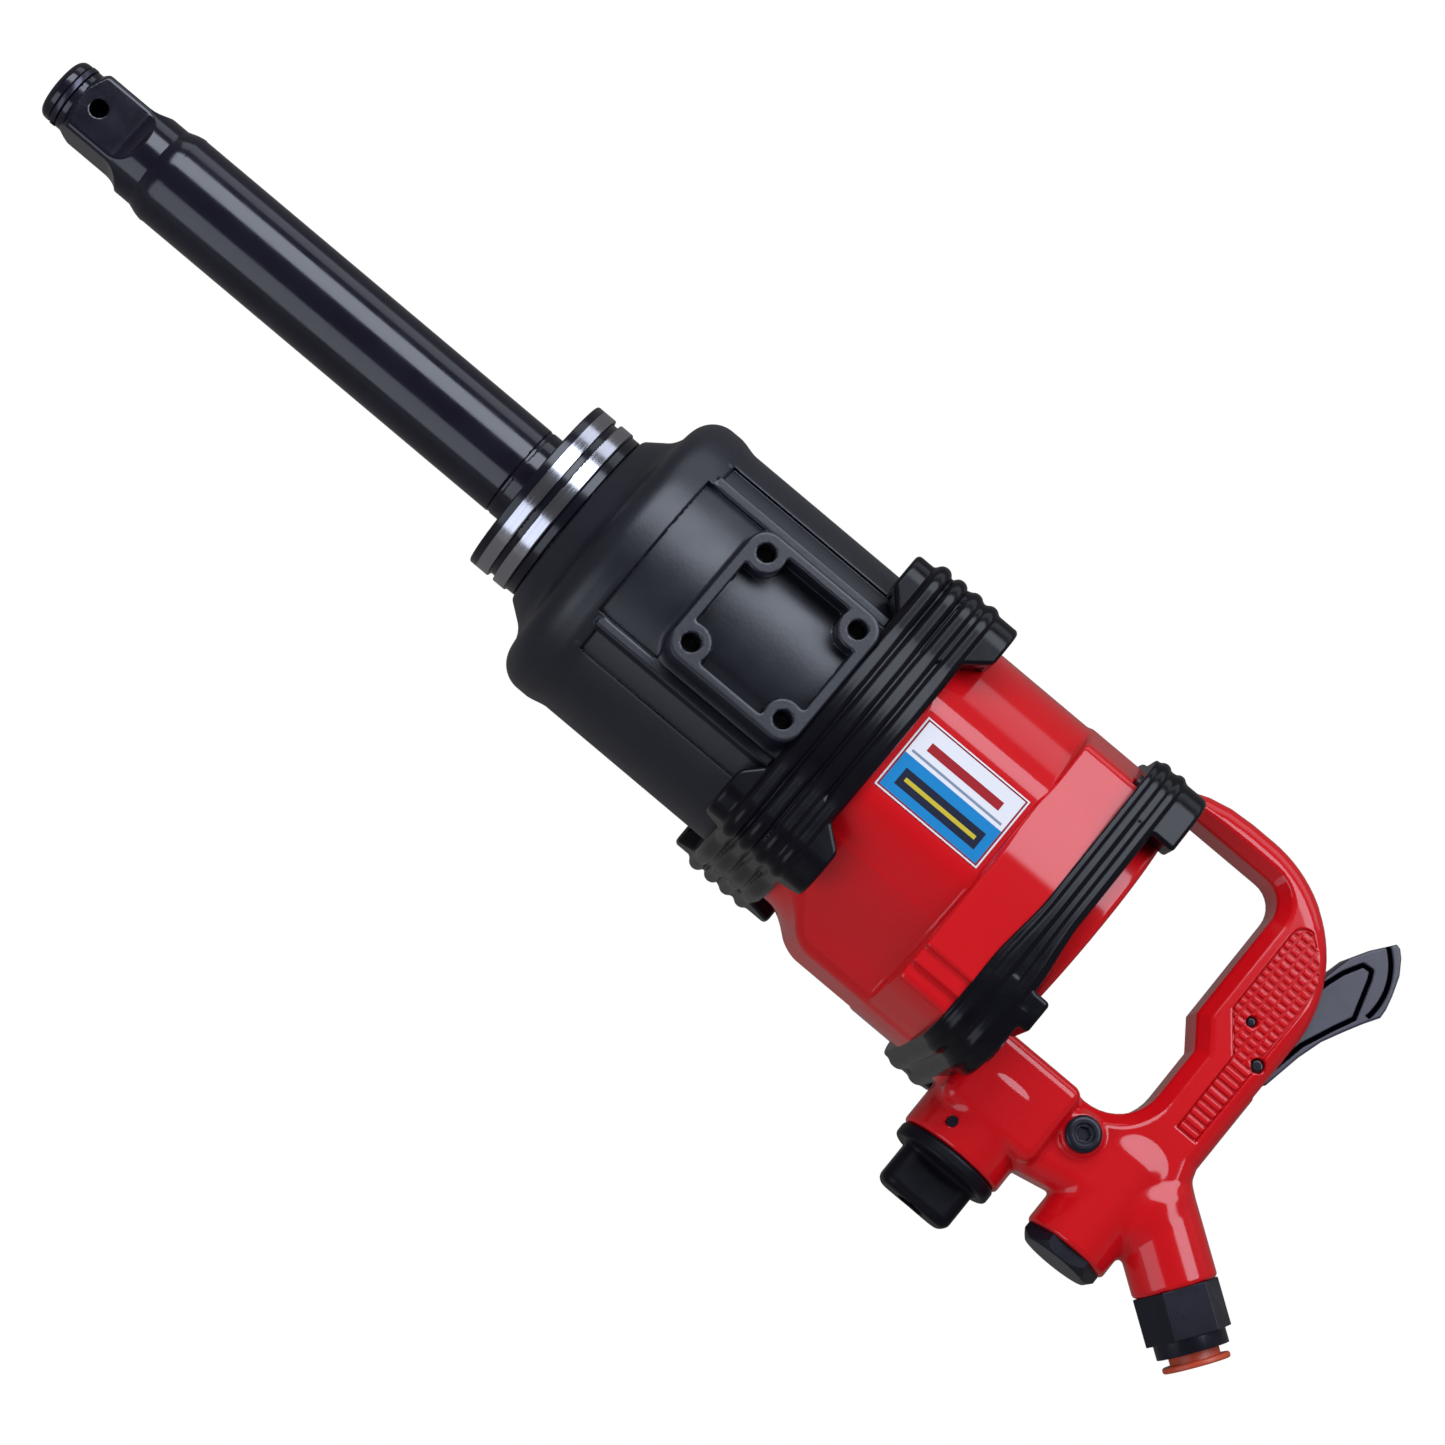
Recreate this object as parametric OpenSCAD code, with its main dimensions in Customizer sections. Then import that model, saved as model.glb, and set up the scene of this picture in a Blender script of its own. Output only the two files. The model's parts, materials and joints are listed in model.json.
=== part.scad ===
// Heavy air impact wrench with a long square-drive anvil, a twin-hammer mechanism,
// a vane air motor and a D-handle with an outside throttle lever.
// The spindle lies along X: the drive is at the origin and the handle is at +X.
// +Y points to the closed top of the handle. +Z points out of the side-handle pad.

/* [Square drive and anvil] */
// Across flats of the square drive
drive_af = 25.4; // [24:0.1:26]
// Radius of the bar that the drive square is milled from
drive_bar_r = 17; // [16:0.1:17.5]
// X of the drive tip, in front of the cross hole
drive_tip_x = -18.3; // [-20:0.1:-17]
// Radius of the cross hole for a socket pin
pin_hole_r = 3.3; // [2.5:0.1:4]
// Radius of the long shaft
shaft_r = 19; // [18:0.1:20]
// Radius of the anvil inside the hammers
jaw_r = 23.5; // [22:0.1:24]

/* [Nose] */
// Radius of the steel nose sleeve
nose_r = 36.7; // [35:0.1:37]
// X of the front of the nose sleeve
nose_x = 207.6; // [205:0.1:209]
// Outer radius of the bronze anvil bushing
bushing_r = 24; // [23:0.1:26]

/* [Hammer case] */
// Outer radius of the barrel
case_r = 59.6; // [58:0.1:60]
// Radius of the raised front shoulder
case_shoulder_r = 61.2; // [60.5:0.1:62]
// Radius of the chamber that the hammers turn in
case_bore_r = 53; // [52:0.1:54]
// X of the joint between hammer case and motor housing
joint_x = 354; // [353.5:0.1:354.5]
// Centre of the side-handle pad along the spindle
pad_x = 311; // [309:0.5:312]
// Side of the square side-handle pad
pad_side = 58; // [56:0.5:60]
// Height of the pad face above the spindle axis
pad_z = 66; // [65:0.1:68]
// Spacing of the four tapped holes in the pad
pad_pitch = 42; // [40:0.5:43]
// Radius of the tapped holes in the pad
pad_hole_r = 3.4; // [3:0.1:4]
// Depth of the tapped holes in the pad
pad_hole_depth = 12; // [10:0.5:13]

/* [Hammers] */
// Outer radius of a hammer
hammer_r = 49; // [48:0.1:49.5]
// Half width of a hammer between the frame rails
hammer_half_w = 36; // [34:0.5:36]
// Radius of the bore of a hammer
hammer_bore_r = 27.5; // [27:0.1:28]
// Radius of a hammer pin
hammer_pin_r = 6; // [5:0.1:6.2]
// Distance of the hammer pins from the spindle axis
hammer_pin_offset = 38; // [37.5:0.1:38.5]
// Outer radius of the hammer frame
frame_r = 50; // [49.5:0.1:51]
// Half distance between the frame rails
rail_half_gap = 41.5; // [41.5:0.1:43]

/* [Air motor] */
// Radius of the rotor
rotor_r = 38.4; // [37:0.1:38.5]
// Number of vanes
vane_count = 6; // [4:1:8]
// Bore radius of the cylinder
cylinder_bore_r = 42; // [41.8:0.1:43]
// Distance of the cylinder bore below the spindle axis
cylinder_offset = 3; // [2.5:0.1:3.2]
// Outer radius of the cylinder
cylinder_r = 50; // [49:0.1:50.5]
// Radius of the rotor shaft at the bearings
rotor_shaft_r = 10; // [9.5:0.1:10.5]
// Outer radius of the ball bearings
bearing_r = 23.5; // [23:0.1:24.5]
// Number of balls in a bearing
ball_count = 9; // [7:1:10]

/* [Motor housing] */
// Radius of the motor barrel
housing_r = 62; // [61.5:0.1:62.3]
// Bore radius of the housing
housing_bore_r = 52; // [51.5:0.1:53]
// X of the joint between motor housing and backhead
rear_joint_x = 451; // [450.5:0.1:451.5]
// Height of the flat that carries the name plate
label_flat_z = 58.6; // [57.5:0.1:60]
// Depth of the flat under the exhaust duct, below the axis
duct_y = 70.8; // [69:0.1:72]
// Half width of the exhaust duct
duct_half_w = 17.5; // [15:0.5:20]

/* [Rubber guards] */
// Boss centres of the front joint, from the axis along Y and Z
front_boss = 49; // [48.5:0.1:49.5]
// Radius of the metal bosses of the front joint
front_boss_r = 10; // [9.5:0.1:10.2]
// Outer corner radius of the front guard at its ribs
front_guard_rib_r = 14; // [13.5:0.1:15]
// Number of ribs on the front guard
front_rib_count = 4; // [3:1:4]
// Boss centres of the rear joint along Z
rear_boss_z = 47.5; // [47:0.1:48]
// Upper boss centres of the rear joint
rear_boss_top_y = 47.5; // [47:0.1:48]
// Lower boss centres of the rear joint
rear_boss_low_y = -58; // [-58.5:0.1:-57.5]
// Radius of the metal bosses of the rear joint
rear_boss_r = 11; // [10.8:0.1:11.1]

/* [Backhead and handle] */
// Half thickness of the handle loop
handle_half_t = 14.5; // [14:0.1:15.5]
// X of the back of the grip
grip_back_x = 552.5; // [551:0.1:553]
// Radius of the outer corner of the loop
loop_corner_r = 52.7; // [51:0.1:53]
// Height of the top of the loop
loop_top_y = 73.7; // [73:0.1:75]
// Radius of the body around the throttle valve
valve_body_r = 17; // [16.5:0.1:18]
// X of the throttle valve axis
valve_x = 533.6; // [533.2:0.1:534]
// X of the regulator axis
regulator_x = 480.3; // [480:0.1:481]
// Radius of the regulator boss
regulator_boss_r = 21; // [20:0.1:22]

/* [Throttle lever] */
// Width of the lever
lever_w = 16; // [15:0.1:16.5]
// Radius of the lever pin
lever_pin_r = 2.5; // [2:0.1:2.8]
// Radius of the stop pin
stop_pin_r = 1.8; // [1.5:0.1:2]

/* [Air inlet] */
// Angle of the inlet below the X axis
inlet_angle = 35; // [34:0.5:36]
// Across flats of the inlet bushing
inlet_af = 28.5; // [28:0.5:29]
// Radius of the pipe thread wall in the inlet bushing
inlet_thread_r = 9.3; // [9:0.1:9.5]

/* [Fits] */
// Radial gap of turning and sliding fits
run_gap = 0.05; // [0.02:0.01:0.1]
// Thickness of the gaskets at the two casing joints
gasket_t = 0.6; // [0.4:0.1:0.8]

/* [Hidden] */
$fn = 72;
far = 120;

case_end_x = joint_x - gasket_t / 2;
housing_x0 = joint_x + gasket_t / 2;
housing_x1 = rear_joint_x - gasket_t / 2;
backhead_x = rear_joint_x + gasket_t / 2;

// Nose
sleeve_end_x = 246;
sleeve_shank_r = 34;
sleeve_shank_x = 228;
seal_r = 30;
seal_depth = 4.4;

// Hammers and frame, from front to back
frame_front_x = [249, 260];
front_hammer_x = [260.4, 291];
rear_hammer_x = [291.6, 322.2];
frame_rear_x = [322.6, 334];
spline_end_x = 349;
tail_r = 12;
anvil_core_r = 17.5;
hammer_swing = 4;
jaw_half_w = 8;
jaw_side_gap = 2.6;

// Air motor, from front to back
front_plate_x = [357, 371];
rotor_x = [371.3, 432.7];
rear_plate_x = [433, 447];
bearing_w = 12;
bearing_pitch_r = 16.75;
ball_r = 3.9;
race_gap = 0.08;
spline_root_r = 8.6;
spline_teeth = 8;
vane_t = 4;

// Hammer case and front joint
pad_base_z = 45;
boss_step = 0.3;
case_boss_x = 338.4;
web_half_w = 6;
ridge_half_w = 1;
ridge_h = 0.8;

// Gap that keeps faces which only touch from sharing any volume
seat_gap = 0.01;

// Fasteners
m8_r = 4;
m8_hole_r = 4.2;
m8_hex_af = 13;
m6_r = 3;

// Backhead
flange_t = 7.7;
cover_t = 12.7;
cover_r = 57;
bolt_head_space_r = 7.5;
arm_low_y = [-81, -77];
valve_body_end_y = -90.5;
regulator_end_y = -91.6;
inlet_face = [574, -75.2];
inlet_boss_r = 16;
inlet_shank_r = 11.5;
inlet_port_r = 4.5;
lever_pivot = [545.4, 4.7];
stop_pin_at = [533.8, 15.8];
oil_plug_at = [510.9, -56.8];
valve_bush_r = 12;
valve_land_r = 8.4;
stem_r = 3;
spool_r = 11;
regulator_pin_at = [regulator_x - 9, -84];
regulator_pin_r = 1.9;
outlet_y = -64;

// ---- shared shapes ----

function arc(c, r, a0, a1, n = 10) =
    [for (i = [0:n]) c + r * [cos(a0 + (a1 - a0) * i / n), sin(a0 + (a1 - a0) * i / n)]];

// Rounded rectangle whose corner circles are centred on lo and hi
function rounded_rect(lo, hi, r, n = 8) = concat(
    arc(hi, r, 0, 90, n), arc([lo[0], hi[1]], r, 90, 180, n),
    arc(lo, r, 180, 270, n), arc([hi[0], lo[1]], r, 270, 360, n));

module bar_x(r, x, at = [0, 0]) {
    translate([x[0], at[0], at[1]]) rotate([0, 90, 0]) cylinder(r = r, h = x[1] - x[0]);
}

module bar_y(r, y, at = [0, 0]) {
    translate([at[0], y[0], at[1]]) rotate([-90, 0, 0]) cylinder(r = r, h = y[1] - y[0]);
}

module bar_z(r, z, at = [0, 0]) {
    translate([at[0], at[1], z[0]]) cylinder(r = r, h = z[1] - z[0]);
}

module block(x, y, z) {
    translate([x[0], y[0], z[0]]) cube([x[1] - x[0], y[1] - y[0], z[1] - z[0]]);
}

// Turns an outline of [x, radius] points about the spindle axis
module turned(outline) {
    rotate([0, 90, 0]) rotate_extrude() polygon([for (p = outline) [p[1], p[0]]]);
}

module ring_x(r_out, r_in, x) {
    turned([[x[0], r_in], [x[0], r_out], [x[1], r_out], [x[1], r_in]]);
}

// Extrudes a YZ shape along the spindle
module along_x(x) {
    translate([x[0], 0, 0]) rotate([90, 0, 90]) linear_extrude(x[1] - x[0]) children();
}

// Extrudes an XZ shape along Y
module along_y(y) {
    translate([0, y[0], 0]) mirror([0, 0, 1]) rotate([-90, 0, 0]) linear_extrude(y[1] - y[0]) children();
}

module hex_x(af, x, at = [0, 0]) {
    translate([x[0], at[0], at[1]]) rotate([0, 90, 0]) cylinder(r = af / sqrt(3), h = x[1] - x[0], $fn = 6);
}

// Moves children so that their X axis runs out of the air inlet, from its boss face
module at_inlet() {
    translate(inlet_face) rotate([0, 0, -inlet_angle]) children();
}

module at_front_bosses() {
    for (y = [-front_boss, front_boss], z = [-front_boss, front_boss]) translate([0, y, z]) children();
}

module at_rear_bosses() {
    for (y = [rear_boss_low_y, rear_boss_top_y], z = [-rear_boss_z, rear_boss_z])
        translate([0, y, z]) children();
}

module front_flange(r, x) {
    along_x(x) polygon(rounded_rect([-front_boss, -front_boss], [front_boss, front_boss], r));
}

module rear_flange(r, x) {
    along_x(x) polygon(rounded_rect([rear_boss_low_y, -rear_boss_z], [rear_boss_top_y, rear_boss_z], r));
}

// Bosses for the front joint's bolts, tied to the barrel by webs
module front_bosses(x) {
    at_front_bosses() bar_x(front_boss_r - boss_step, x);
    for (a = [45:90:315]) rotate([a, 0, 0]) block(x, [case_r - 4, 68], [-web_half_w, web_half_w]);
}

// ---- anvil and nose ----

module drive_flat_cut() {
    runout_r = 10;
    flat_end = 15;
    block([drive_tip_x - 1, flat_end], [drive_af / 2, 2 * drive_bar_r], [-drive_bar_r, drive_bar_r]);
    bar_z(runout_r, [-far, far], [flat_end - 2, drive_af / 2 + runout_r + 0.2]);
}

module anvil_jaw(x, side) {
    intersection() {
        bar_x(jaw_r, x);
        block([x[0] - 1, x[1] + 1], side > 0 ? [0, far] : [-far, 0], [-jaw_half_w, jaw_half_w]);
    }
}

module anvil() {
    nose_bar_r = drive_af / 2 - 0.05;
    nose_round = 3.5;
    ring_groove = [-13.5, -10.6];
    ring_groove_r = 9.8;
    mark_groove = [200.4, 201.9];
    collar_x = 247.3;
    tip_arc = arc([nose_bar_r - nose_round, drive_tip_x + nose_round], nose_round, -90, 0, 6);
    tip = [for (p = tip_arc) [p[1], p[0]]];
    color([0.13, 0.13, 0.16]) difference() {
        union() {
            turned(concat([[drive_tip_x, 0]], tip, [
                [ring_groove[0], nose_bar_r], [ring_groove[0], ring_groove_r],
                [ring_groove[1], ring_groove_r], [ring_groove[1], nose_bar_r],
                [-9, nose_bar_r], [-5, drive_bar_r], [28.5, drive_bar_r], [34, shaft_r],
                [mark_groove[0], shaft_r], [mark_groove[0], shaft_r - 0.6],
                [mark_groove[1], shaft_r - 0.6], [mark_groove[1], shaft_r],
                [collar_x, shaft_r], [collar_x, jaw_r],
                [frame_front_x[1], jaw_r], [frame_front_x[1], anvil_core_r],
                [frame_rear_x[0] - 0.1, anvil_core_r], [frame_rear_x[0] - 0.1, tail_r],
                [frame_rear_x[1] - 1, tail_r], [frame_rear_x[1] - 1, 0]
            ]));
            anvil_jaw([front_hammer_x[0] + jaw_side_gap, front_hammer_x[1] - jaw_side_gap], 1);
            anvil_jaw([rear_hammer_x[0] + jaw_side_gap, rear_hammer_x[1] - jaw_side_gap], -1);
        }
        for (a = [0:90:270]) rotate([a, 0, 0]) drive_flat_cut();
        bar_z(pin_hole_r, [-2 * drive_bar_r, 2 * drive_bar_r]);
    }
}

module socket_retaining_ring() {
    gap_half = 2.2;
    color([0.45, 0.45, 0.5]) difference() {
        ring_x(12.95, 11.6, [-13.2, -10.9]);
        block([-14, -10], [-far, 0], [-gap_half, gap_half]);
    }
}

module ring_cushion() {
    cord_r = 0.85;
    color([0.1, 0.1, 0.1]) translate([-12.05, 0, 0]) rotate([0, 90, 0])
        rotate_extrude() translate([10.7, 0]) circle(r = cord_r, $fn = 24);
}

module nose_seal() {
    lip_gap = 0.06;
    color([0.12, 0.12, 0.13]) turned([
        [nose_x + 0.4, shaft_r + lip_gap + 1.2], [nose_x + 0.4, seal_r - 1], [nose_x + 1.4, seal_r - run_gap],
        [nose_x + seal_depth - 0.1, seal_r - run_gap], [nose_x + seal_depth - 0.1, shaft_r + lip_gap + 0.8],
        [nose_x + 2.4, shaft_r + lip_gap]
    ]);
}

module nose_sleeve() {
    land_groove = [216, 218.6];
    groove_d = 1.6;
    color([0.75, 0.76, 0.8]) difference() {
        turned([
            [nose_x, seal_r], [nose_x, nose_r - 1], [nose_x + 1, nose_r],
            [land_groove[0], nose_r], [land_groove[0] + 0.3, nose_r - groove_d],
            [land_groove[1] - 0.3, nose_r - groove_d], [land_groove[1], nose_r],
            [223.7, nose_r], [224.7, nose_r - 0.8], [sleeve_shank_x, nose_r - 0.8],
            [sleeve_shank_x, sleeve_shank_r], [sleeve_end_x, sleeve_shank_r],
            [sleeve_end_x, bushing_r + run_gap], [nose_x + seal_depth, bushing_r + run_gap],
            [nose_x + seal_depth, seal_r]
        ]);
    }
}

module anvil_bushing() {
    oil_groove = [[222, 224], [233, 235]];
    color([0.72, 0.5, 0.25]) difference() {
        ring_x(bushing_r, shaft_r + run_gap, [nose_x + seal_depth + 0.3, sleeve_end_x - 0.2]);
        for (x = oil_groove) ring_x(shaft_r + 1, shaft_r - 1, x);
    }
}

// ---- hammer case ----

module side_handle_pad() {
    half = pad_side / 2;
    corner_r = 8;
    corner = half - corner_r;
    wall = 4.5;
    difference() {
        translate([pad_x, 0, pad_base_z]) linear_extrude(pad_z - pad_base_z)
            polygon(rounded_rect([-corner, -corner], [corner, corner], corner_r));
        difference() {
            block([pad_x - half + wall, pad_x + half - wall], [wall - half, half - wall],
                [pad_base_z - 1, far]);
            for (x = [-1, 1], y = [-1, 1])
                bar_z(corner_r, [0, far], [pad_x + x * pad_pitch / 2, y * pad_pitch / 2]);
        }
    }
}

module hammer_case() {
    wall_x = sleeve_end_x + 0.3;
    plinth = [258.8, pad_x - pad_side / 2];
    plinth_half = 36;
    plinth_d = 1.2;
    flange_x = 341;
    color([0.24, 0.25, 0.3]) difference() {
        union() {
            turned([
                [228.4, 0], [228.4, 37.3], [237.6, 44.2], [239.8, 48.6], [242, 54], [244.9, 58.5],
                [248.5, case_shoulder_r - 0.5], [254, case_shoulder_r], [plinth[0], case_shoulder_r],
                [plinth[0] + 1.4, case_r], [case_end_x, case_r], [case_end_x, 0]
            ]);
            for (a = [45:90:315]) rotate([a, 0, 0])
                block([plinth[0], flange_x + 1], [case_r - 3, case_r + ridge_h],
                    [-ridge_half_w, ridge_half_w]);
            side_handle_pad();
            front_flange(front_boss_r, [flange_x, case_end_x]);
            front_bosses([case_boss_x, case_end_x]);
        }
        bar_x(case_bore_r, [wall_x, joint_x + 1]);
        bar_x(sleeve_shank_r + run_gap, [200, wall_x + 1]);
        difference() {
            block(plinth, [-plinth_half, plinth_half], [30, far]);
            bar_x(case_r - plinth_d, [plinth[0] - 1, plinth[1] + 1]);
        }
        at_front_bosses() bar_x(m8_hole_r, [case_boss_x - 1, joint_x + 1]);
        for (x = [-1, 1], y = [-1, 1])
            bar_z(pad_hole_r, [pad_z - pad_hole_depth, pad_z + 1],
                [pad_x + x * pad_pitch / 2, y * pad_pitch / 2]);
    }
}

// ---- hammer mechanism ----

module spline_2d(gap) {
    tooth_w = 3 + 2 * gap;
    circle(r = spline_root_r + gap);
    intersection() {
        circle(r = rotor_shaft_r - 0.1 + gap);
        for (a = [0:360 / spline_teeth:359]) rotate(a)
            translate([0, -tooth_w / 2]) square([rotor_shaft_r + 1, tooth_w]);
    }
}

module hammer_frame() {
    hub_r = 17;
    whole_x = [frame_front_x[0], frame_rear_x[1]];
    color([0.5, 0.5, 0.53]) difference() {
        union() {
            bar_x(frame_r, frame_front_x);
            bar_x(frame_r, frame_rear_x);
            bar_x(hub_r, [frame_rear_x[0], spline_end_x]);
            difference() {
                bar_x(frame_r, whole_x);
                block(whole_x + [-1, 1], [-rail_half_gap, rail_half_gap], [-far, far]);
            }
        }
        bar_x(jaw_r + run_gap, [frame_front_x[0] - 1, frame_front_x[1] + 1]);
        bar_x(tail_r + run_gap, [frame_rear_x[0] - 1, frame_rear_x[1]]);
        along_x([frame_rear_x[1] - 1, spline_end_x + 1]) spline_2d(run_gap);
        for (z = [-1, 1])
            bar_x(hammer_pin_r + run_gap, whole_x + [-1, 1], [0, z * hammer_pin_offset]);
    }
}

module hammer_pins() {
    color([0.7, 0.7, 0.72]) for (z = [-1, 1])
        bar_x(hammer_pin_r, [frame_front_x[0] + 0.5, frame_rear_x[1] - 0.5], [0, z * hammer_pin_offset]);
}

// One hammer, hung on the pin at +Z when side is 1 and at -Z when side is -1
module hammer(x, side) {
    slide = 2 * hammer_pin_offset * sin(hammer_swing) + 0.3;
    slot_r = hammer_pin_r + 0.5;
    dog_y = 21;
    dog_half_w = 6;
    difference() {
        intersection() {
            bar_x(hammer_r, x);
            block([x[0] - 1, x[1] + 1], [-hammer_half_w, hammer_half_w], [-far, far]);
        }
        difference() {
            bar_x(hammer_bore_r, [x[0] - 1, x[1] + 1]);
            block(x + [-2, 2], side > 0 ? [-far, -dog_y] : [dog_y, far], [-dog_half_w, dog_half_w]);
        }
        bar_x(hammer_pin_r + run_gap, [x[0] - 1, x[1] + 1], [0, side * hammer_pin_offset]);
        translate([0, 0, -side * hammer_pin_offset]) {
            block([x[0] - 1, x[1] + 1], [-slide, slide], [-slot_r, slot_r]);
            for (y = [-slide, slide]) bar_x(slot_r + 0.02, [x[0] - 1, x[1] + 1], [y, 0]);
        }
    }
}

module front_hammer() {
    color([0.42, 0.42, 0.45]) hammer(front_hammer_x, 1);
}

module rear_hammer() {
    color([0.42, 0.42, 0.45]) hammer(rear_hammer_x, -1);
}

module case_gasket() {
    color([0.55, 0.5, 0.4]) difference() {
        front_flange(front_boss_r - 0.5, [case_end_x + seat_gap, housing_x0 - seat_gap]);
        bar_x(case_bore_r + 0.2, [case_end_x - 1, housing_x0 + 1]);
        at_front_bosses() bar_x(m8_hole_r, [case_end_x - 1, housing_x0 + 1]);
    }
}

// ---- bearings ----

module bearing_track(x0) {
    translate([x0 + bearing_w / 2, 0, 0]) rotate([0, 90, 0])
        rotate_extrude() translate([bearing_pitch_r, 0]) circle(r = ball_r + race_gap, $fn = 36);
}

module outer_race(x0) {
    color([0.75, 0.76, 0.78]) difference() {
        ring_x(bearing_r, 19, [x0, x0 + bearing_w]);
        bearing_track(x0);
    }
}

module inner_race(x0) {
    color([0.75, 0.76, 0.78]) difference() {
        ring_x(14.5, rotor_shaft_r + run_gap, [x0, x0 + bearing_w]);
        bearing_track(x0);
    }
}

module at_balls(x0) {
    for (i = [0:ball_count - 1]) rotate([i * 360 / ball_count, 0, 0])
        translate([x0 + bearing_w / 2, bearing_pitch_r, 0]) children();
}

module balls(x0) {
    color([0.85, 0.86, 0.88]) at_balls(x0) sphere(r = ball_r);
}

module bearing_cage(x0) {
    margin = 1.2;
    color([0.7, 0.55, 0.3]) difference() {
        ring_x(17.9, 15.6, [x0 + margin, x0 + bearing_w - margin]);
        at_balls(x0) rotate([90, 0, 0]) cylinder(r = ball_r + 0.15, h = 6, center = true);
    }
}

module front_bearing_outer_race() outer_race(front_plate_x[0]);
module front_bearing_inner_race() inner_race(front_plate_x[0]);
module front_bearing_balls() balls(front_plate_x[0]);
module front_bearing_cage() bearing_cage(front_plate_x[0]);
module rear_bearing_outer_race() outer_race(rear_plate_x[1] - bearing_w);
module rear_bearing_inner_race() inner_race(rear_plate_x[1] - bearing_w);
module rear_bearing_balls() balls(rear_plate_x[1] - bearing_w);
module rear_bearing_cage() bearing_cage(rear_plate_x[1] - bearing_w);

// ---- air motor ----

dowel_y = 45.3;
dowel_r = 2;
dowel_x = [366, 438];

module end_plate(x, pocket_x) {
    color([0.6, 0.6, 0.62]) difference() {
        bar_x(housing_bore_r - run_gap, x);
        bar_x(rotor_shaft_r + 1, [x[0] - 1, x[1] + 1]);
        bar_x(bearing_r + 0.02, pocket_x);
        bar_x(dowel_r + run_gap, dowel_x, [dowel_y, 0]);
        children();
    }
}

module front_end_plate() {
    end_plate(front_plate_x, [front_plate_x[0] - 1, front_plate_x[0] + bearing_w]);
}

module rear_end_plate() {
    port_r = 4.5;
    port_at = 36;
    end_plate(rear_plate_x, [rear_plate_x[1] - bearing_w, rear_plate_x[1] + 1])
        for (a = [-16, 0, 16]) rotate([a, 0, 0])
            bar_x(port_r, [rear_plate_x[0] - 1, rear_plate_x[1] + 1], [-port_at, 0]);
}

module cylinder_body() {
    difference() {
        bar_x(cylinder_r, [front_plate_x[1], rear_plate_x[0]]);
        bar_x(cylinder_bore_r, [front_plate_x[1] - 1, rear_plate_x[0] + 1], [-cylinder_offset, 0]);
        bar_x(dowel_r + run_gap, dowel_x, [dowel_y, 0]);
    }
}

module cylinder_part() {
    slot_w = 5;
    slot_pitch = 9;
    slot_count = 5;
    first = (front_plate_x[1] + rear_plate_x[0]) / 2 - slot_pitch * (slot_count - 1) / 2;
    color([0.55, 0.55, 0.58]) difference() {
        cylinder_body();
        for (i = [0:slot_count - 1])
            block([first + i * slot_pitch - slot_w / 2, first + i * slot_pitch + slot_w / 2],
                [-far, -30], [-16, 16]);
    }
}

module cylinder_dowel() {
    color([0.8, 0.8, 0.82]) bar_x(dowel_r, dowel_x + [0.3, -0.3], [dowel_y, 0]);
}

module rotor() {
    slot_floor_r = 20;
    slot_t = vane_t + 0.2;
    color([0.5, 0.5, 0.52]) {
        difference() {
            bar_x(rotor_r, rotor_x);
            for (i = [0:vane_count - 1]) rotate([i * 360 / vane_count, 0, 0])
                block(rotor_x + [-1, 1], [slot_floor_r, far], [-slot_t / 2, slot_t / 2]);
        }
        bar_x(rotor_shaft_r, [spline_end_x + 0.5, rotor_x[0] + 1]);
        bar_x(rotor_shaft_r, [rotor_x[1] - 1, rear_plate_x[1] - 0.5]);
        along_x([frame_rear_x[1] + 0.5, spline_end_x + 1]) spline_2d(0);
    }
}

module vanes() {
    vane_r = [21, rotor_r - 0.2];
    color([0.45, 0.3, 0.18]) for (i = [0:vane_count - 1]) rotate([i * 360 / vane_count, 0, 0])
        block(rotor_x + [0.1, -0.1], vane_r, [-vane_t / 2, vane_t / 2]);
}

// ---- motor housing ----

block_x = 420.7;

// Half of the squared section behind the step, as [y, z] points on the +Z side
squared_section = [
    [63.6, 0], [62.2, 12], [57, 28], [46, 53], [2, 63.6], [-48.5, 63.6], [-49.5, 61.5],
    [-55.5, 61.5], [-56.5, 59], [-62.6, 59], [-66, 50], [-69, 30], [-duct_y, duct_half_w], [-duct_y, 0]
];

module exhaust_duct() {
    duct_front_x = [377, 389];
    root = [-42, 41.5];
    intersection() {
        along_x([duct_front_x[0], housing_x1]) polygon([
            root, [-duct_y, duct_half_w], [-duct_y, -duct_half_w], [root[0], -root[1]]
        ]);
        translate([0, 0, -far / 2]) linear_extrude(far) polygon([
            [duct_front_x[0], -40], [duct_front_x[0], 2 - housing_r], [duct_front_x[1], -duct_y - 1],
            [housing_x1 + 1, -duct_y - 1], [housing_x1 + 1, -40]
        ]);
    }
}

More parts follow.
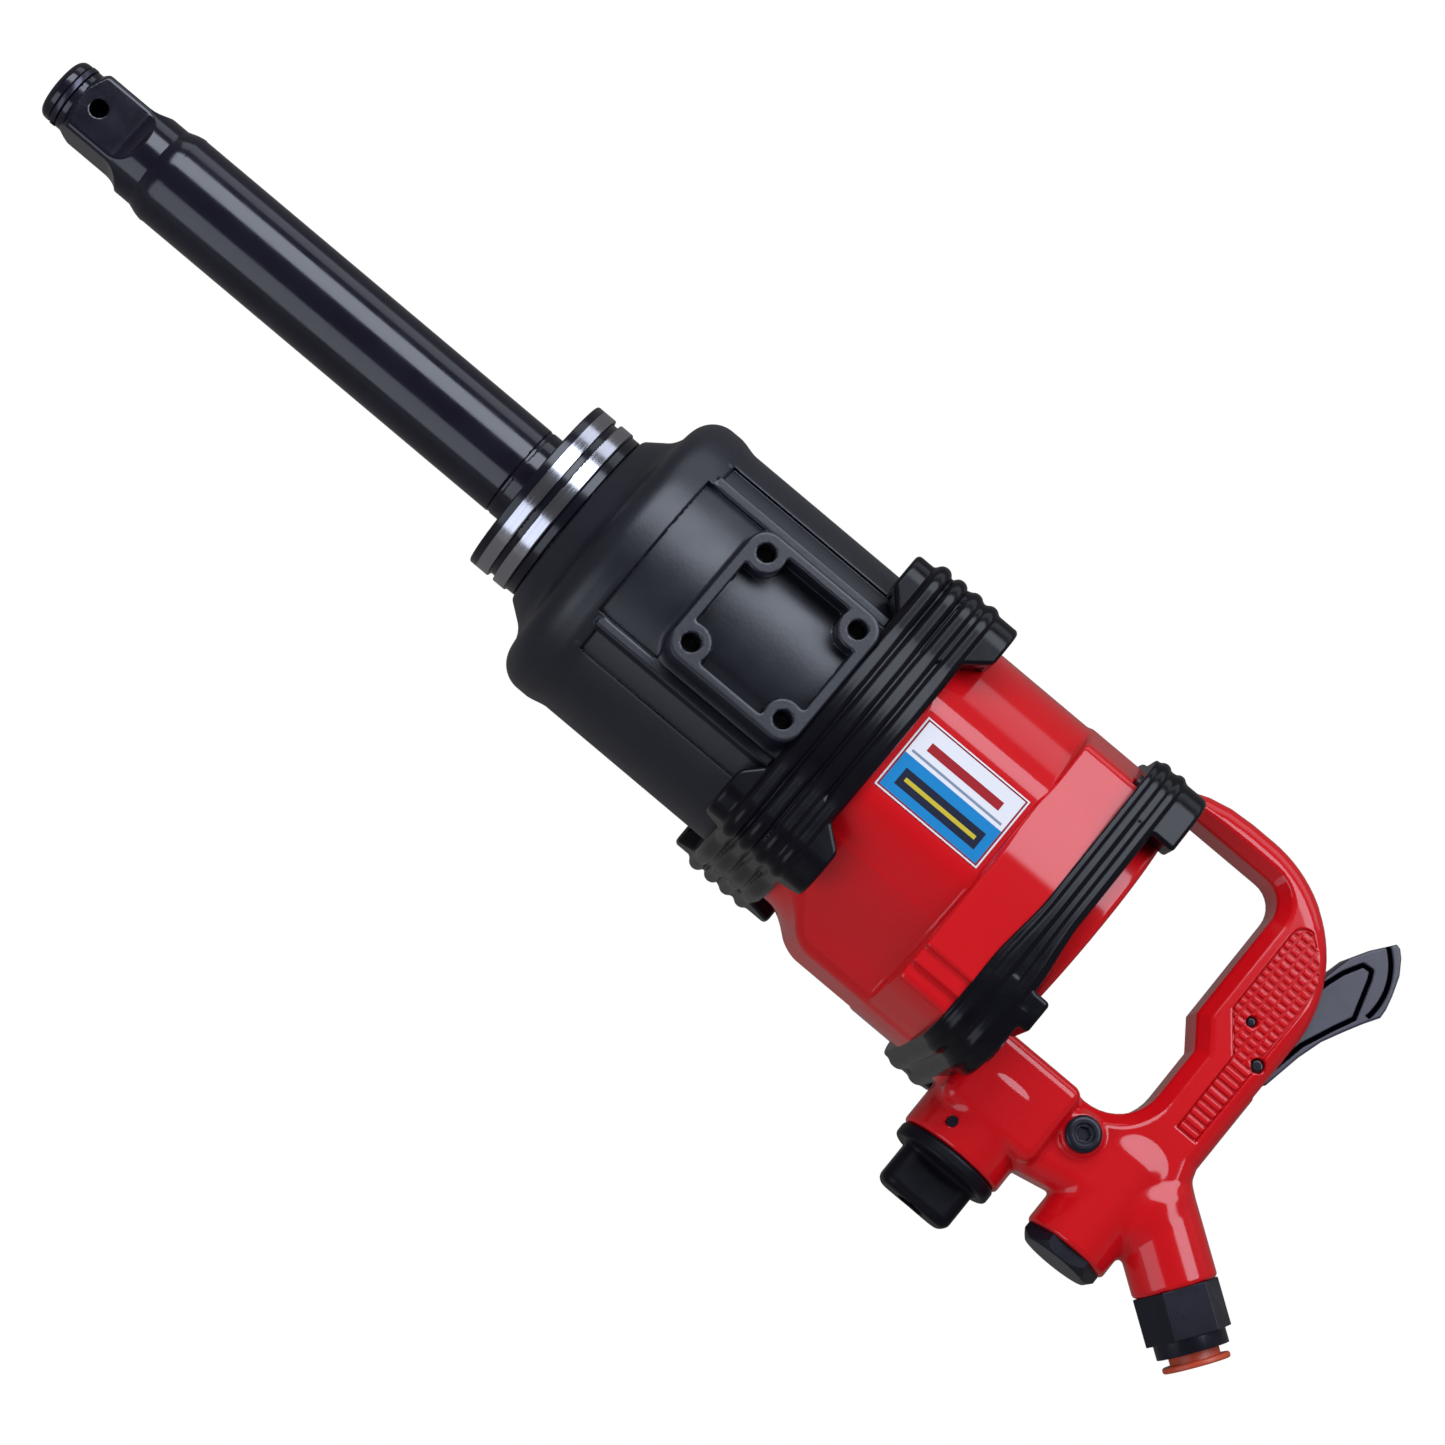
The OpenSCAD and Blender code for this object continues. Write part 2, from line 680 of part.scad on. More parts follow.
module motor_housing() {
    flange_end_x = 366;
    boss_end_x = 369.6;
    rear_boss_x = 441.8;
    lip_r = 45;
    duct_cavity = [[392, 446], [5 - duct_y, -48], [-14, 14]];
    slot_pitch = 8;
    label_x = [369.2, block_x - 1];
    color([0.8, 0.1, 0.13]) difference() {
        union() {
            difference() {
                bar_x(housing_r, [housing_x0, housing_x1]);
                block(label_x, [-far, far], [label_flat_z, far]);
            }
            along_x([block_x, housing_x1]) {
                polygon(squared_section);
                mirror([0, 1]) polygon(squared_section);
            }
            exhaust_duct();
            front_flange(front_boss_r, [housing_x0, flange_end_x]);
            front_bosses([housing_x0, boss_end_x]);
            at_rear_bosses() bar_x(rear_boss_r, [rear_boss_x, housing_x1]);
        }
        bar_x(housing_bore_r, [front_plate_x[0], housing_x1 + 1]);
        bar_x(lip_r, [housing_x0 - 1, front_plate_x[0] + 1]);
        block(duct_cavity[0], duct_cavity[1], duct_cavity[2]);
        for (i = [0:4])
            block([398 + i * slot_pitch, 401 + i * slot_pitch], [-62, -52], [-far, -10]);
        at_front_bosses() bar_x(m8_hole_r, [housing_x0 - 1, boss_end_x + 1]);
        at_rear_bosses() bar_x(m8_r + run_gap, [rear_boss_x + 0.7, housing_x1 + 1]);
    }
}

module name_plate() {
    plate_t = 0.5;
    color([0.2, 0.6, 0.9]) block([371, 418], [-16, 15], [label_flat_z, label_flat_z + plate_t]);
}

// ---- rubber guards ----

guard_x = [339, 368.6];
guard_round_r = 65;
rib_pitch = 7.3;
rib_d = 1.2;
// Corner radii of the rear guard at its top and bottom
rear_guard_r = [13.5, 15];

module front_guard_outline(inset, x) {
    front_flange(front_guard_rib_r - inset, x);
    bar_x(guard_round_r - inset, x);
}

module front_guard() {
    tab_x = [331.5, 377];
    rib_half_w = 2.1;
    tab_wall = 1.5;
    cavity_gap = 0.3;
    side_gap = 0.15;
    pad_half = pad_side / 2 + side_gap;
    web_gap = web_half_w + side_gap;
    ridge_gap = ridge_half_w + 0.4;
    first_rib = (guard_x[0] + guard_x[1]) / 2 - rib_pitch * (front_rib_count - 1) / 2;
    color([0.12, 0.12, 0.14]) difference() {
        union() {
            front_guard_outline(rib_d, guard_x);
            for (i = [0:front_rib_count - 1]) let (x = first_rib + i * rib_pitch)
                front_guard_outline(0, [x - rib_half_w, x + rib_half_w]);
            at_front_bosses() bar_x(front_guard_rib_r - rib_d - boss_step, tab_x);
        }
        front_flange(front_boss_r + cavity_gap, guard_x + [tab_wall, -tab_wall]);
        at_front_bosses() bar_x(front_boss_r + cavity_gap - 0.2, tab_x + [tab_wall, -tab_wall]);
        bar_x(case_r + cavity_gap, [300, joint_x + 1]);
        for (a = [45:90:315]) rotate([a, 0, 0]) {
            block([300, joint_x], [40, case_r + ridge_h + side_gap], [-ridge_gap, ridge_gap]);
            block([case_boss_x - side_gap, joint_x], [40, case_r + 2.4], [-web_gap, web_gap]);
        }
        bar_x(housing_r + 0.1, [joint_x, 400]);
        block([300, guard_x[0] + tab_wall + side_gap], [-pad_half, pad_half], [pad_base_z, far]);
    }
}

// Rounded corners round the bosses, with sides that stand out between them
module rear_guard_outline(inset, x) {
    upper_r = rear_guard_r[0] - inset;
    lower_r = rear_guard_r[1] - inset;
    side = [for (p = [[44, 59], [3, 66], [-51, 66], [-62, 60]]) [p[0], p[1] - inset]];
    bar_x(66.5 - inset, x);
    along_x(x) {
        polygon(concat(
            arc([rear_boss_top_y, rear_boss_z], upper_r, 0, 90, 8),
            arc([rear_boss_low_y, rear_boss_z], lower_r, 90, 180, 8),
            arc([rear_boss_low_y, -rear_boss_z], lower_r, 180, 270, 8),
            arc([rear_boss_top_y, -rear_boss_z], upper_r, 270, 360, 8)));
        polygon(concat(side, [for (i = [len(side) - 1:-1:0]) [side[i][0], -side[i][1]]]));
    }
}

module rear_guard() {
    lip_x = [441.5, 461];
    wide_rib = [444.5, 452.5];
    tall_rib = [455, 460];
    tab_end_x = 468;
    lip_inset = 1.2;
    end_gap = 0.3;
    seat_end_x = backhead_x + flange_t + end_gap;
    head_space_x = backhead_x + flange_t + 7;
    fitted_section = [for (p = squared_section) p * 1.003];
    color([0.12, 0.12, 0.14]) difference() {
        union() {
            rear_guard_outline(lip_inset, lip_x);
            rear_guard_outline(0.3, wide_rib);
            rear_guard_outline(0, tall_rib);
            at_rear_bosses() bar_x(rear_guard_r[0] - lip_inset - boss_step, [lip_x[1] - 1, tab_end_x]);
        }
        along_x([400, housing_x1 + 2 * end_gap]) {
            polygon(fitted_section);
            mirror([0, 1]) polygon(fitted_section);
        }
        bar_x(housing_r + 0.4, [400, seat_end_x]);
        at_rear_bosses() bar_x(rear_boss_r + 0.15, [400, backhead_x + 1]);
        rear_flange(rear_boss_r + end_gap, [lip_x[0] + 1.5, seat_end_x]);
        at_rear_bosses() bar_x(bolt_head_space_r, [450, head_space_x]);
        bar_x(cover_r + end_gap, [450, 500]);
        block([450, 500], [-far, far], [-22, 22]);
    }
}

module case_bolts() {
    head_h = 5.3;
    head_x = case_boss_x;
    color([0.35, 0.35, 0.38]) at_front_bosses() {
        bar_x(m8_r, [head_x - 1, 375.4]);
        hex_x(m8_hex_af, [head_x - head_h, head_x]);
    }
}

module case_nuts() {
    nut_x = [369.7, 375.2];
    color([0.4, 0.4, 0.42]) at_front_bosses() difference() {
        hex_x(m8_hex_af, nut_x);
        bar_x(m8_r + run_gap, nut_x + [-1, 1]);
    }
}

module rear_gasket() {
    color([0.55, 0.5, 0.4]) difference() {
        rear_flange(10.5, [housing_x1 + seat_gap, backhead_x - seat_gap]);
        bar_x(housing_bore_r + 0.1, [housing_x1 - 1, backhead_x + 1]);
        at_rear_bosses() bar_x(m8_hole_r, [housing_x1 - 1, backhead_x + 1]);
    }
}

module backhead_bolts() {
    head_r = 6.5;
    head_h = 6;
    head_x = backhead_x + flange_t;
    color([0.35, 0.35, 0.38]) at_rear_bosses() difference() {
        union() {
            bar_x(m8_r, [443, head_x + 1]);
            bar_x(head_r, [head_x + 0.01, head_x + head_h]);
        }
        hex_x(6, [head_x + 2.5, head_x + head_h + 1]);
    }
}

// ---- backhead ----

grip_front_x = 516.6;
slot_half_w = lever_w / 2 + 0.5;

loop_outline = concat(
    [[backhead_x + 4, 60], [470, 69], [488, loop_top_y]],
    arc([grip_back_x - loop_corner_r, loop_top_y - loop_corner_r], loop_corner_r, 90, 0, 18),
    [[grip_back_x, -38], [grip_back_x + 13, -62], [grip_back_x - 2, -76], [519, arm_low_y[1]],
     [500, arm_low_y[0]], [backhead_x + 4, arm_low_y[0] + 9]]);

window_outline = concat(
    [[464, 61]],
    arc([grip_front_x - 10.6, 50.4], 10.6, 90, 0, 8),
    [[grip_front_x, 6], [524.5, -5]],
    arc([505, -26], 19.5, 0, -90, 10),
    [[464, -45.5]]);

// Space that the lever sweeps inside the grip, open at the back
slot_outline = [
    [528.2, -4.5], [528.2, 13], [532, 19], [529, 40], [528.5, 80], [600, 80], [600, 0], [553, -4.5]
];

module backhead_shell() {
    base_block = [[461, 503], [-79, -45], [-21, 21]];
    along_x([backhead_x, backhead_x + flange_t])
        polygon(rounded_rect([rear_boss_low_y, -rear_boss_z], [rear_boss_top_y, rear_boss_z], 11));
    bar_x(housing_r, [backhead_x, backhead_x + flange_t]);
    bar_x(cover_r, [backhead_x, backhead_x + cover_t]);
    ring_x(51.9, 46, [rear_plate_x[1] + 0.2, backhead_x + 1]);
    translate([0, 0, -handle_half_t]) linear_extrude(2 * handle_half_t) difference() {
        polygon(loop_outline);
        polygon(window_outline);
    }
    block(base_block[0], base_block[1], base_block[2]);
    bar_y(regulator_boss_r, [regulator_end_y, -60], [regulator_x, 0]);
    bar_y(valve_body_r, [valve_body_end_y, -42], [valve_x, 0]);
    at_inlet() bar_x(inlet_boss_r, [-32, 0]);
    bar_z(8.5, [0, 17], oil_plug_at);
}

module backhead() {
    shaft_pocket_r = 24;
    trough = [[backhead_x - 1, 458], [-49, -33], [-12, 12]];
    inlet_passage_r = 5;
    color([0.8, 0.1, 0.13]) difference() {
        backhead_shell();
        bar_x(shaft_pocket_r, [backhead_x - 1, backhead_x + 3]);
        block(trough[0], trough[1], trough[2]);
        translate([regulator_x + 1.7, -70, 0]) rotate([0, 0, 138]) bar_x(6, [0, 38]);
        bar_x(inlet_passage_r, [regulator_x, valve_x], [outlet_y, 0]);
        bar_y(spool_r + run_gap, [regulator_end_y - 1, -57], [regulator_x, 0]);
        bar_z(regulator_pin_r + 0.02, [-far, far], regulator_pin_at);
        bar_y(valve_bush_r + run_gap, [-80, -44], [valve_x, 0]);
        bar_y(13.05, [valve_body_end_y - 1, -80], [valve_x, 0]);
        bar_y(stem_r + run_gap, [-45, 0], [valve_x, 0]);
        translate([0, 0, -slot_half_w]) linear_extrude(2 * slot_half_w) polygon(slot_outline);
        bar_z(lever_pin_r + 0.02, [-far, far], lever_pivot);
        bar_z(stop_pin_r + 0.02, [-far, far], stop_pin_at);
        bar_z(m6_r + 1 + run_gap, [8, far], oil_plug_at);
        at_inlet() bar_x(inlet_shank_r + run_gap, [-16, 1]);
        at_inlet() bar_x(inlet_port_r, [-44, -15]);
        at_rear_bosses() bar_x(m8_hole_r, [backhead_x - 1, backhead_x + flange_t + 1]);
        at_rear_bosses() bar_x(bolt_head_space_r, [backhead_x + flange_t, 480]);
    }
}

// ---- throttle ----

// Side outline of the lever, from the toe on the valve stem round the tip
lever_outline = [
    [530.8, 0], [549.5, 0], [553, 2.4], [556, 18], [559, 28], [563, 36], [567, 43.5],
    [570.5, 49.2], [570.3, 53], [569, 58.5], [566.5, 66], [563, 71.5], [560.5, 74], [558.5, 74.5],
    [552, 66], [548, 59], [546.4, 52.7], [543.5, 40], [541.5, 26], [541.5, 16],
    [539.5, 13.6], [530.8, 12.3]
];

module throttle_lever() {
    color([0.38, 0.37, 0.42]) difference() {
        translate([0, 0, -lever_w / 2]) linear_extrude(lever_w) polygon(lever_outline);
        bar_z(lever_pin_r + run_gap, [-far, far], lever_pivot);
    }
}

module lever_pin() {
    color([0.8, 0.8, 0.82]) bar_z(lever_pin_r, [-handle_half_t + 0.3, handle_half_t - 0.3], lever_pivot);
}

module lever_stop_pin() {
    color([0.8, 0.8, 0.82]) bar_z(stop_pin_r, [-handle_half_t + 0.3, handle_half_t - 0.3], stop_pin_at);
}

land_y = [-72, -58.8];
spring_y = [-89.8, -72.1];

module throttle_valve() {
    dome_gap = 0.1;
    color([0.7, 0.7, 0.72]) {
        bar_y(stem_r, [land_y[1] - 1, -dome_gap - stem_r], [valve_x, 0]);
        intersection() {
            translate([valve_x, -dome_gap - stem_r, 0]) sphere(r = stem_r);
            block([500, 560], [-dome_gap - stem_r - 0.5, 0], [-far, far]);
        }
        difference() {
            bar_y(valve_land_r, land_y, [valve_x, 0]);
            bar_y(6.5, [land_y[0] - 1, land_y[0] + 4], [valve_x, 0]);
        }
    }
}

module valve_bush() {
    color([0.72, 0.5, 0.25]) difference() {
        bar_y(valve_bush_r, [-79.9, -44.1], [valve_x, 0]);
        bar_y(valve_land_r + run_gap, [-81, -46.5], [valve_x, 0]);
        bar_y(stem_r + run_gap, [-47, -43], [valve_x, 0]);
        bar_x(5, [valve_x - 20, valve_x], [outlet_y, 0]);
        at_inlet() bar_x(inlet_port_r, [-44, -20]);
    }
}

// Slice of a round wire wound as a coil, cut square to the coil's axis
function coil_slice(coil_r, wire_r, pitch, n = 6) =
    let (half = 360 * wire_r / pitch, a = [for (i = [0:n]) half * (2 * i / n - 1)],
        t = [for (v = a) wire_r * sqrt(max(0.02, 1 - pow(v / half, 2)))])
    concat([for (i = [0:n]) (coil_r + t[i]) * [cos(a[i]), sin(a[i])]],
        [for (i = [n:-1:0]) (coil_r - t[i]) * [cos(a[i]), sin(a[i])]]);

module throttle_spring() {
    coil_r = 5.2;
    wire_r = 0.6;
    turns = 6;
    seat_depth = 3.9;
    length = spring_y[1] + seat_depth - spring_y[0];
    color([0.8, 0.8, 0.82]) translate([valve_x, spring_y[1] + seat_depth, 0]) rotate([90, 0, 0])
        linear_extrude(length, twist = 360 * turns, slices = 14 * turns, $fn = 8)
            polygon(coil_slice(coil_r, wire_r, length / turns));
}

module valve_cap() {
    hex_ac = 32;
    hex_h = 5.8;
    rounding = 2.6;
    color([0.12, 0.12, 0.14]) difference() {
        union() {
            bar_y(13, [valve_body_end_y - 1, -80.2], [valve_x, 0]);
            intersection() {
                translate([valve_x, valve_body_end_y - 0.1, 0]) rotate([90, 0, 0])
                    cylinder(r = hex_ac / 2, h = hex_h - 0.1, $fn = 6);
                translate([valve_x, valve_body_end_y, 0]) rotate([90, 0, 0])
                    cylinder(r1 = hex_ac / 2 + rounding, r2 = hex_ac / 2 - rounding, h = hex_h);
            }
        }
        bar_y(7.5, [-90, -79], [valve_x, 0]);
        bar_y(20, [-83.6, -81.2], [valve_x, 0]);
    }
    color([0.12, 0.12, 0.14]) difference() {
        bar_y(11, [-84, -81], [valve_x, 0]);
        bar_y(7.5, [-90, -79], [valve_x, 0]);
    }
}

module valve_cap_seal() {
    color([0.1, 0.1, 0.1]) translate([valve_x, -82.4, 0]) rotate([90, 0, 0])
        rotate_extrude() translate([12, 0]) circle(r = 0.95, $fn = 24);
}

module oil_plug() {
    head_z = [17, 20.2];
    color([0.12, 0.12, 0.14]) difference() {
        union() {
            bar_z(m6_r + 1, [9, head_z[0] + 1], oil_plug_at);
            bar_z(7, head_z, oil_plug_at);
        }
        bar_z(5 / sqrt(3), [head_z[1] - 2.2, far], oil_plug_at, $fn = 6);
    }
}

// ---- air inlet ----

module inlet_bushing() {
    hex_x1 = 18;
    collar_x1 = 23.5;
    plug_depth = 7;
    thread_l = 14;
    thread_x0 = collar_x1 - plug_depth - thread_l;
    color([0.15, 0.15, 0.17]) at_inlet() difference() {
        union() {
            bar_x(inlet_shank_r, [-15.5, 1]);
            rotate([30, 0, 0]) hex_x(inlet_af, [0.05, hex_x1]);
            bar_x(13.6, [hex_x1 - 1, collar_x1]);
        }
        bar_x(9.6, [collar_x1 - plug_depth, collar_x1 + 1]);
        bar_x(inlet_thread_r, [thread_x0, collar_x1]);
        bar_x(8.2, [thread_x0 - 1.7, thread_x0 + 1]);
        bar_x(7, [-17, thread_x0]);
    }
}

module inlet_screen() {
    hole_r = 0.9;
    color([0.75, 0.75, 0.7]) at_inlet() difference() {
        bar_x(8.15, [0.95, 2.1]);
        for (ring = [[0, 1], [2.8, 6], [5.6, 12]], i = [0:ring[1] - 1])
            rotate([i * 360 / ring[1], 0, 0]) bar_x(hole_r, [0, 3], [ring[0], 0]);
    }
}

module dust_plug() {
    color([0.9, 0.35, 0.18]) at_inlet() difference() {
        turned([
            [16.8, 0], [16.8, 8.9], [17.4, 9.5], [26.6, 9.5], [26.6, 12.2], [27.1, 12.7],
            [28.3, 12.7], [28.8, 12.2], [28.8, 0]
        ]);
        bar_x(7.5, [16, 24]);
    }
}

// ---- regulator ----

module regulator_spool() {
    groove_y = [-86.1, -81.9];
    color([0.65, 0.6, 0.4]) difference() {
        bar_y(spool_r, [regulator_end_y + 0.1, -57.5], [regulator_x, 0]);
        difference() {
            bar_y(20, groove_y, [regulator_x, 0]);
            bar_y(7, [-90, -80], [regulator_x, 0]);
        }
        difference() {
            bar_y(20, [-78.4, -75.6], [regulator_x, 0]);
            bar_y(8.7, [-80, -74], [regulator_x, 0]);
        }
        bar_y(7, [-71.5, -57], [regulator_x, 0]);
        bar_x(5, [regulator_x, 500], [outlet_y, 0]);
        translate([regulator_x, -65.3, 0]) rotate([0, 0, 138]) bar_x(4.8, [0, 30]);
        bar_y(m6_r, [-93, -75], [regulator_x, 0]);
    }
}

module regulator_seal() {
    color([0.1, 0.1, 0.1]) translate([regulator_x, -77, 0]) rotate([90, 0, 0])
        rotate_extrude() translate([9.85, 0]) circle(r = 1.1, $fn = 24);
}

module regulator_knob() {
    flange_y = [-97.5, regulator_end_y - 0.1];
    bar_half_w = 15.35;
    bar_half_t = 8.5;
    bar_y1 = -114.5;
    color([0.12, 0.12, 0.13]) difference() {
        union() {
            bar_y(20.5, flange_y, [regulator_x, 0]);
            along_y([bar_y1, flange_y[0] + 1]) translate([regulator_x, 0])
                polygon(rounded_rect([6 - bar_half_w, 6 - bar_half_t], [bar_half_w - 6, bar_half_t - 6], 6));
        }
        bar_y(m6_r + run_gap, [-far, -80], [regulator_x, 0]);
        bar_y(5.5, [-far, -105], [regulator_x, 0]);
    }
}

module regulator_screw() {
    color([0.3, 0.3, 0.33]) difference() {
        union() {
            bar_y(m6_r - run_gap, [-106, -76], [regulator_x, 0]);
            bar_y(5.3, [-110.5, -105.02], [regulator_x, 0]);
        }
        translate([regulator_x, -108, 0]) rotate([90, 0, 0]) cylinder(r = 4 / sqrt(3), h = 5, $fn = 6);
    }
}

module regulator_pin() {
    color([0.8, 0.8, 0.82]) bar_z(regulator_pin_r, [-20, 20], regulator_pin_at);
}

anvil();
socket_retaining_ring();
ring_cushion();
nose_seal();
nose_sleeve();
anvil_bushing();
hammer_case();
hammer_frame();
hammer_pins();
front_hammer();
rear_hammer();
case_gasket();
front_end_plate();
front_bearing_outer_race();
front_bearing_inner_race();
front_bearing_balls();
front_bearing_cage();
cylinder_part();  // cylinder
cylinder_dowel();
rotor();
vanes();
rear_end_plate();
rear_bearing_outer_race();
rear_bearing_inner_race();
rear_bearing_balls();
rear_bearing_cage();
motor_housing();
name_plate();
front_guard();
case_bolts();
case_nuts();
rear_gasket();
backhead();
rear_guard();
backhead_bolts();
throttle_lever();
lever_pin();
lever_stop_pin();
throttle_valve();
valve_bush();
throttle_spring();
valve_cap();
valve_cap_seal();
oil_plug();
inlet_bushing();
inlet_screen();
dust_plug();
regulator_spool();
regulator_seal();
regulator_knob();
regulator_screw();
regulator_pin();
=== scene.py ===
"""The looks of an air impact wrench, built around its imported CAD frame.

Castings, rubber guards and other moulded shapes are described as distance fields in millimetres,
in the row frame, and meshed by surface nets. Turned and hexagonal parts keep their CAD meshes.
"""

import json
import math

import bpy
import numpy as np
from mathutils import Matrix, Vector


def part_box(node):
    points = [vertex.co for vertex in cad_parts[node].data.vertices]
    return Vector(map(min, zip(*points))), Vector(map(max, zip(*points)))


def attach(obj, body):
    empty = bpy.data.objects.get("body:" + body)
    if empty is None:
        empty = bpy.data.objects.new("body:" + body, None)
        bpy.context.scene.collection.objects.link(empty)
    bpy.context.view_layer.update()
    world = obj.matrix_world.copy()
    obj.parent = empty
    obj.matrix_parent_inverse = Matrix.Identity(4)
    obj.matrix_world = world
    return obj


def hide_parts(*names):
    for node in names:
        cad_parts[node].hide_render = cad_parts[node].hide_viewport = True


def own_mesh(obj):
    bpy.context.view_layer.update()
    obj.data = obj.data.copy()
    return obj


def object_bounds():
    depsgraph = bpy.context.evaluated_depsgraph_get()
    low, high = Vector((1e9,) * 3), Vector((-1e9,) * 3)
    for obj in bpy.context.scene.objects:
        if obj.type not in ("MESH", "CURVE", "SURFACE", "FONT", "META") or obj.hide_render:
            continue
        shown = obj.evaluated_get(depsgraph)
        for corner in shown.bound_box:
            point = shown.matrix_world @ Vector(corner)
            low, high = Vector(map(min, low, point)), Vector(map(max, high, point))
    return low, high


MM = 0.001
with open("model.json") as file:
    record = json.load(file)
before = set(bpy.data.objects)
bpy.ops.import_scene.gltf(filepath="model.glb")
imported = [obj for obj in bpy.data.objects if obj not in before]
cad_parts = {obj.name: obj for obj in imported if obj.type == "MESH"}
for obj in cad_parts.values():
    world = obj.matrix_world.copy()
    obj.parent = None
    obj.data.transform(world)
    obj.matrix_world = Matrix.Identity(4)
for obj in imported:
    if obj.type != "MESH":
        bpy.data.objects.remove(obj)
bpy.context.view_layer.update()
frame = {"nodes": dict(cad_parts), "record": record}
nodes = frame["nodes"]


def mm_box(node):
    """Lowest and highest corner of a CAD node, in millimetres."""
    low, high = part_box(node)
    return np.array(low) / MM, np.array(high) / MM


# ---- distance fields ----

def slab(a, low, high):
    return np.maximum(low - a, a - high)


def meet(d1, d2, r=0.0):
    """Intersection, with the edge between the two shapes rounded to radius r."""
    if r <= 0:
        return np.maximum(d1, d2)
    return np.minimum(np.maximum(d1, d2), -r) + np.hypot(np.maximum(d1 + r, 0), np.maximum(d2 + r, 0))


def join(d1, d2, r=0.0):
    """Union, with a fillet of radius r between the two shapes."""
    if r <= 0:
        return np.minimum(d1, d2)
    return np.maximum(np.minimum(d1, d2), r) - np.hypot(np.maximum(r - d1, 0), np.maximum(r - d2, 0))


def cut(d, tool, r=0.0):
    return meet(d, -tool, r)


def box2(a, b, half_a, half_b, r=0.0):
    """Rounded rectangle about the origin of the (a, b) plane."""
    qa, qb = np.abs(a) - half_a + r, np.abs(b) - half_b + r
    return np.hypot(np.maximum(qa, 0), np.maximum(qb, 0)) + np.minimum(np.maximum(qa, qb), 0) - r


def rod(radial, along, r, low, high, edge=0.0):
    """Round bar, from its distance off axis and its place along the axis."""
    return meet(radial - r, slab(along, low, high), edge)


def outline(a, b, points):
    """Distance to a closed polygon in the (a, b) plane."""
    best = np.full(np.broadcast(a, b).shape, np.inf)
    inside = np.zeros(best.shape, bool)
    for (a0, b0), (a1, b1) in zip(points, points[1:] + points[:1]):
        ea, eb = a1 - a0, b1 - b0
        t = np.clip(((a - a0) * ea + (b - b0) * eb) / max(ea * ea + eb * eb, 1e-9), 0, 1)
        best = np.minimum(best, (a - a0 - t * ea) ** 2 + (b - b0 - t * eb) ** 2)
        if eb:
            crosses = (b0 > b) != (b1 > b)
            inside ^= crosses & (a < ea * (b - b0) / eb + a0)
    return np.where(inside, -1.0, 1.0) * np.sqrt(best)


def arc(ca, cb, r, start, end, count=10):
    """Points along an arc, with angles in degrees."""
    angles = np.radians(np.linspace(start, end, count + 1))
    return [(ca + r * math.cos(t), cb + r * math.sin(t)) for t in angles]


# ---- meshing ----

BLOCK = 8  # cells along the edge of a block of the grid
SLACK = 1.6  # how much a field may change faster than distance
MARGIN = 2.2  # cells of empty grid left around a shape
OVERHANG = 0.3  # how far a surface may stand outside its CAD node's box


def gradient(field, p, e):
    """Slope of a field at points p, by differences of e."""
    g = np.empty_like(p)
    for axis in range(3):
        ahead, behind = p.copy(), p.copy()
        ahead[:, axis] += e
        behind[:, axis] -= e
        g[:, axis] = (field(*ahead.T) - field(*behind.T)) / (2 * e)
    return g


def to_surface(field, p, step, rounds):
    """Moves points onto the zero surface of a field."""
    for _ in range(rounds):
        g = gradient(field, p, step * 0.25)
        d = field(*p.T) / np.maximum((g * g).sum(1), 0.2)
        p = p - g * np.clip(d, -step, step)[:, None]
    return p


def sample(field, low, high, step):
    """Field values on a grid, exact in the blocks near the surface and rough elsewhere."""
    size = BLOCK * step
    count = np.ceil((high - low) / size).astype(int)
    centres = np.meshgrid(*[low[a] + (np.arange(count[a]) + 0.5) * size for a in range(3)], indexing="ij")
    coarse = field(*[c.ravel() for c in centres]).reshape(count)
    values, near = coarse.astype(np.float32), np.abs(coarse) < size * 0.87 * SLACK
    for axis in range(3):
        values, near = values.repeat(BLOCK, axis), near.repeat(BLOCK, axis)
    at = np.nonzero(near)
    values[at] = field(*[low[a] + at[a] * step for a in range(3)])
    for axis in range(3):
        border = np.moveaxis(values, axis, 0)
        border[[0, -1]] = np.maximum(border[[0, -1]], step)
    return values


def surface_net(values):
    """Cells that the surface crosses, and the quads between them."""
    inside = values < 0
    n = np.array(values.shape) - 1
    hits = sum(inside[i:n[0] + i, j:n[1] + j, k:n[2] + k].astype(np.int8)
               for i in (0, 1) for j in (0, 1) for k in (0, 1))
    active = (hits > 0) & (hits < 8)
    index = np.full(active.shape, -1, np.int64)
    index[active] = np.arange(active.sum())
    quads = []
    for axis in range(3):
        side_b, side_c = (axis + 1) % 3, (axis + 2) % 3
        first = np.moveaxis(inside, axis, 0)
        edge = np.argwhere(first[:-1] != first[1:])
        others = [a for a in range(3) if a != axis]
        place = np.empty_like(edge)
        place[:, axis], place[:, others[0]], place[:, others[1]] = edge.T
        turn = inside[tuple(place.T)]
        corners = []
        for db, dc in ((1, 1), (0, 1), (0, 0), (1, 0)):
            cell = place.copy()
            cell[:, side_b] -= db
            cell[:, side_c] -= dc
            corners.append(index[tuple(cell.T)])
        quad = np.stack(corners, 1)
        quads.append(np.where(turn[:, None], quad, quad[:, ::-1]))
    return np.argwhere(active), np.concatenate(quads)


def relax(p, quads, normals, amount=0.6):
    """Evens the spacing of the points without leaving the surface."""
    total, weight = np.zeros_like(p), np.zeros(len(p))
    for k in range(4):
        a, b = quads[:, k], quads[:, (k + 1) % 4]
        for axis in range(3):
            total[:, axis] += np.bincount(a, p[b, axis], len(p)) + np.bincount(b, p[a, axis], len(p))
        weight += np.bincount(a, minlength=len(p)) + np.bincount(b, minlength=len(p))
    move = (total / weight[:, None] - p) * amount
    return p + move - normals * (move * normals).sum(1)[:, None]


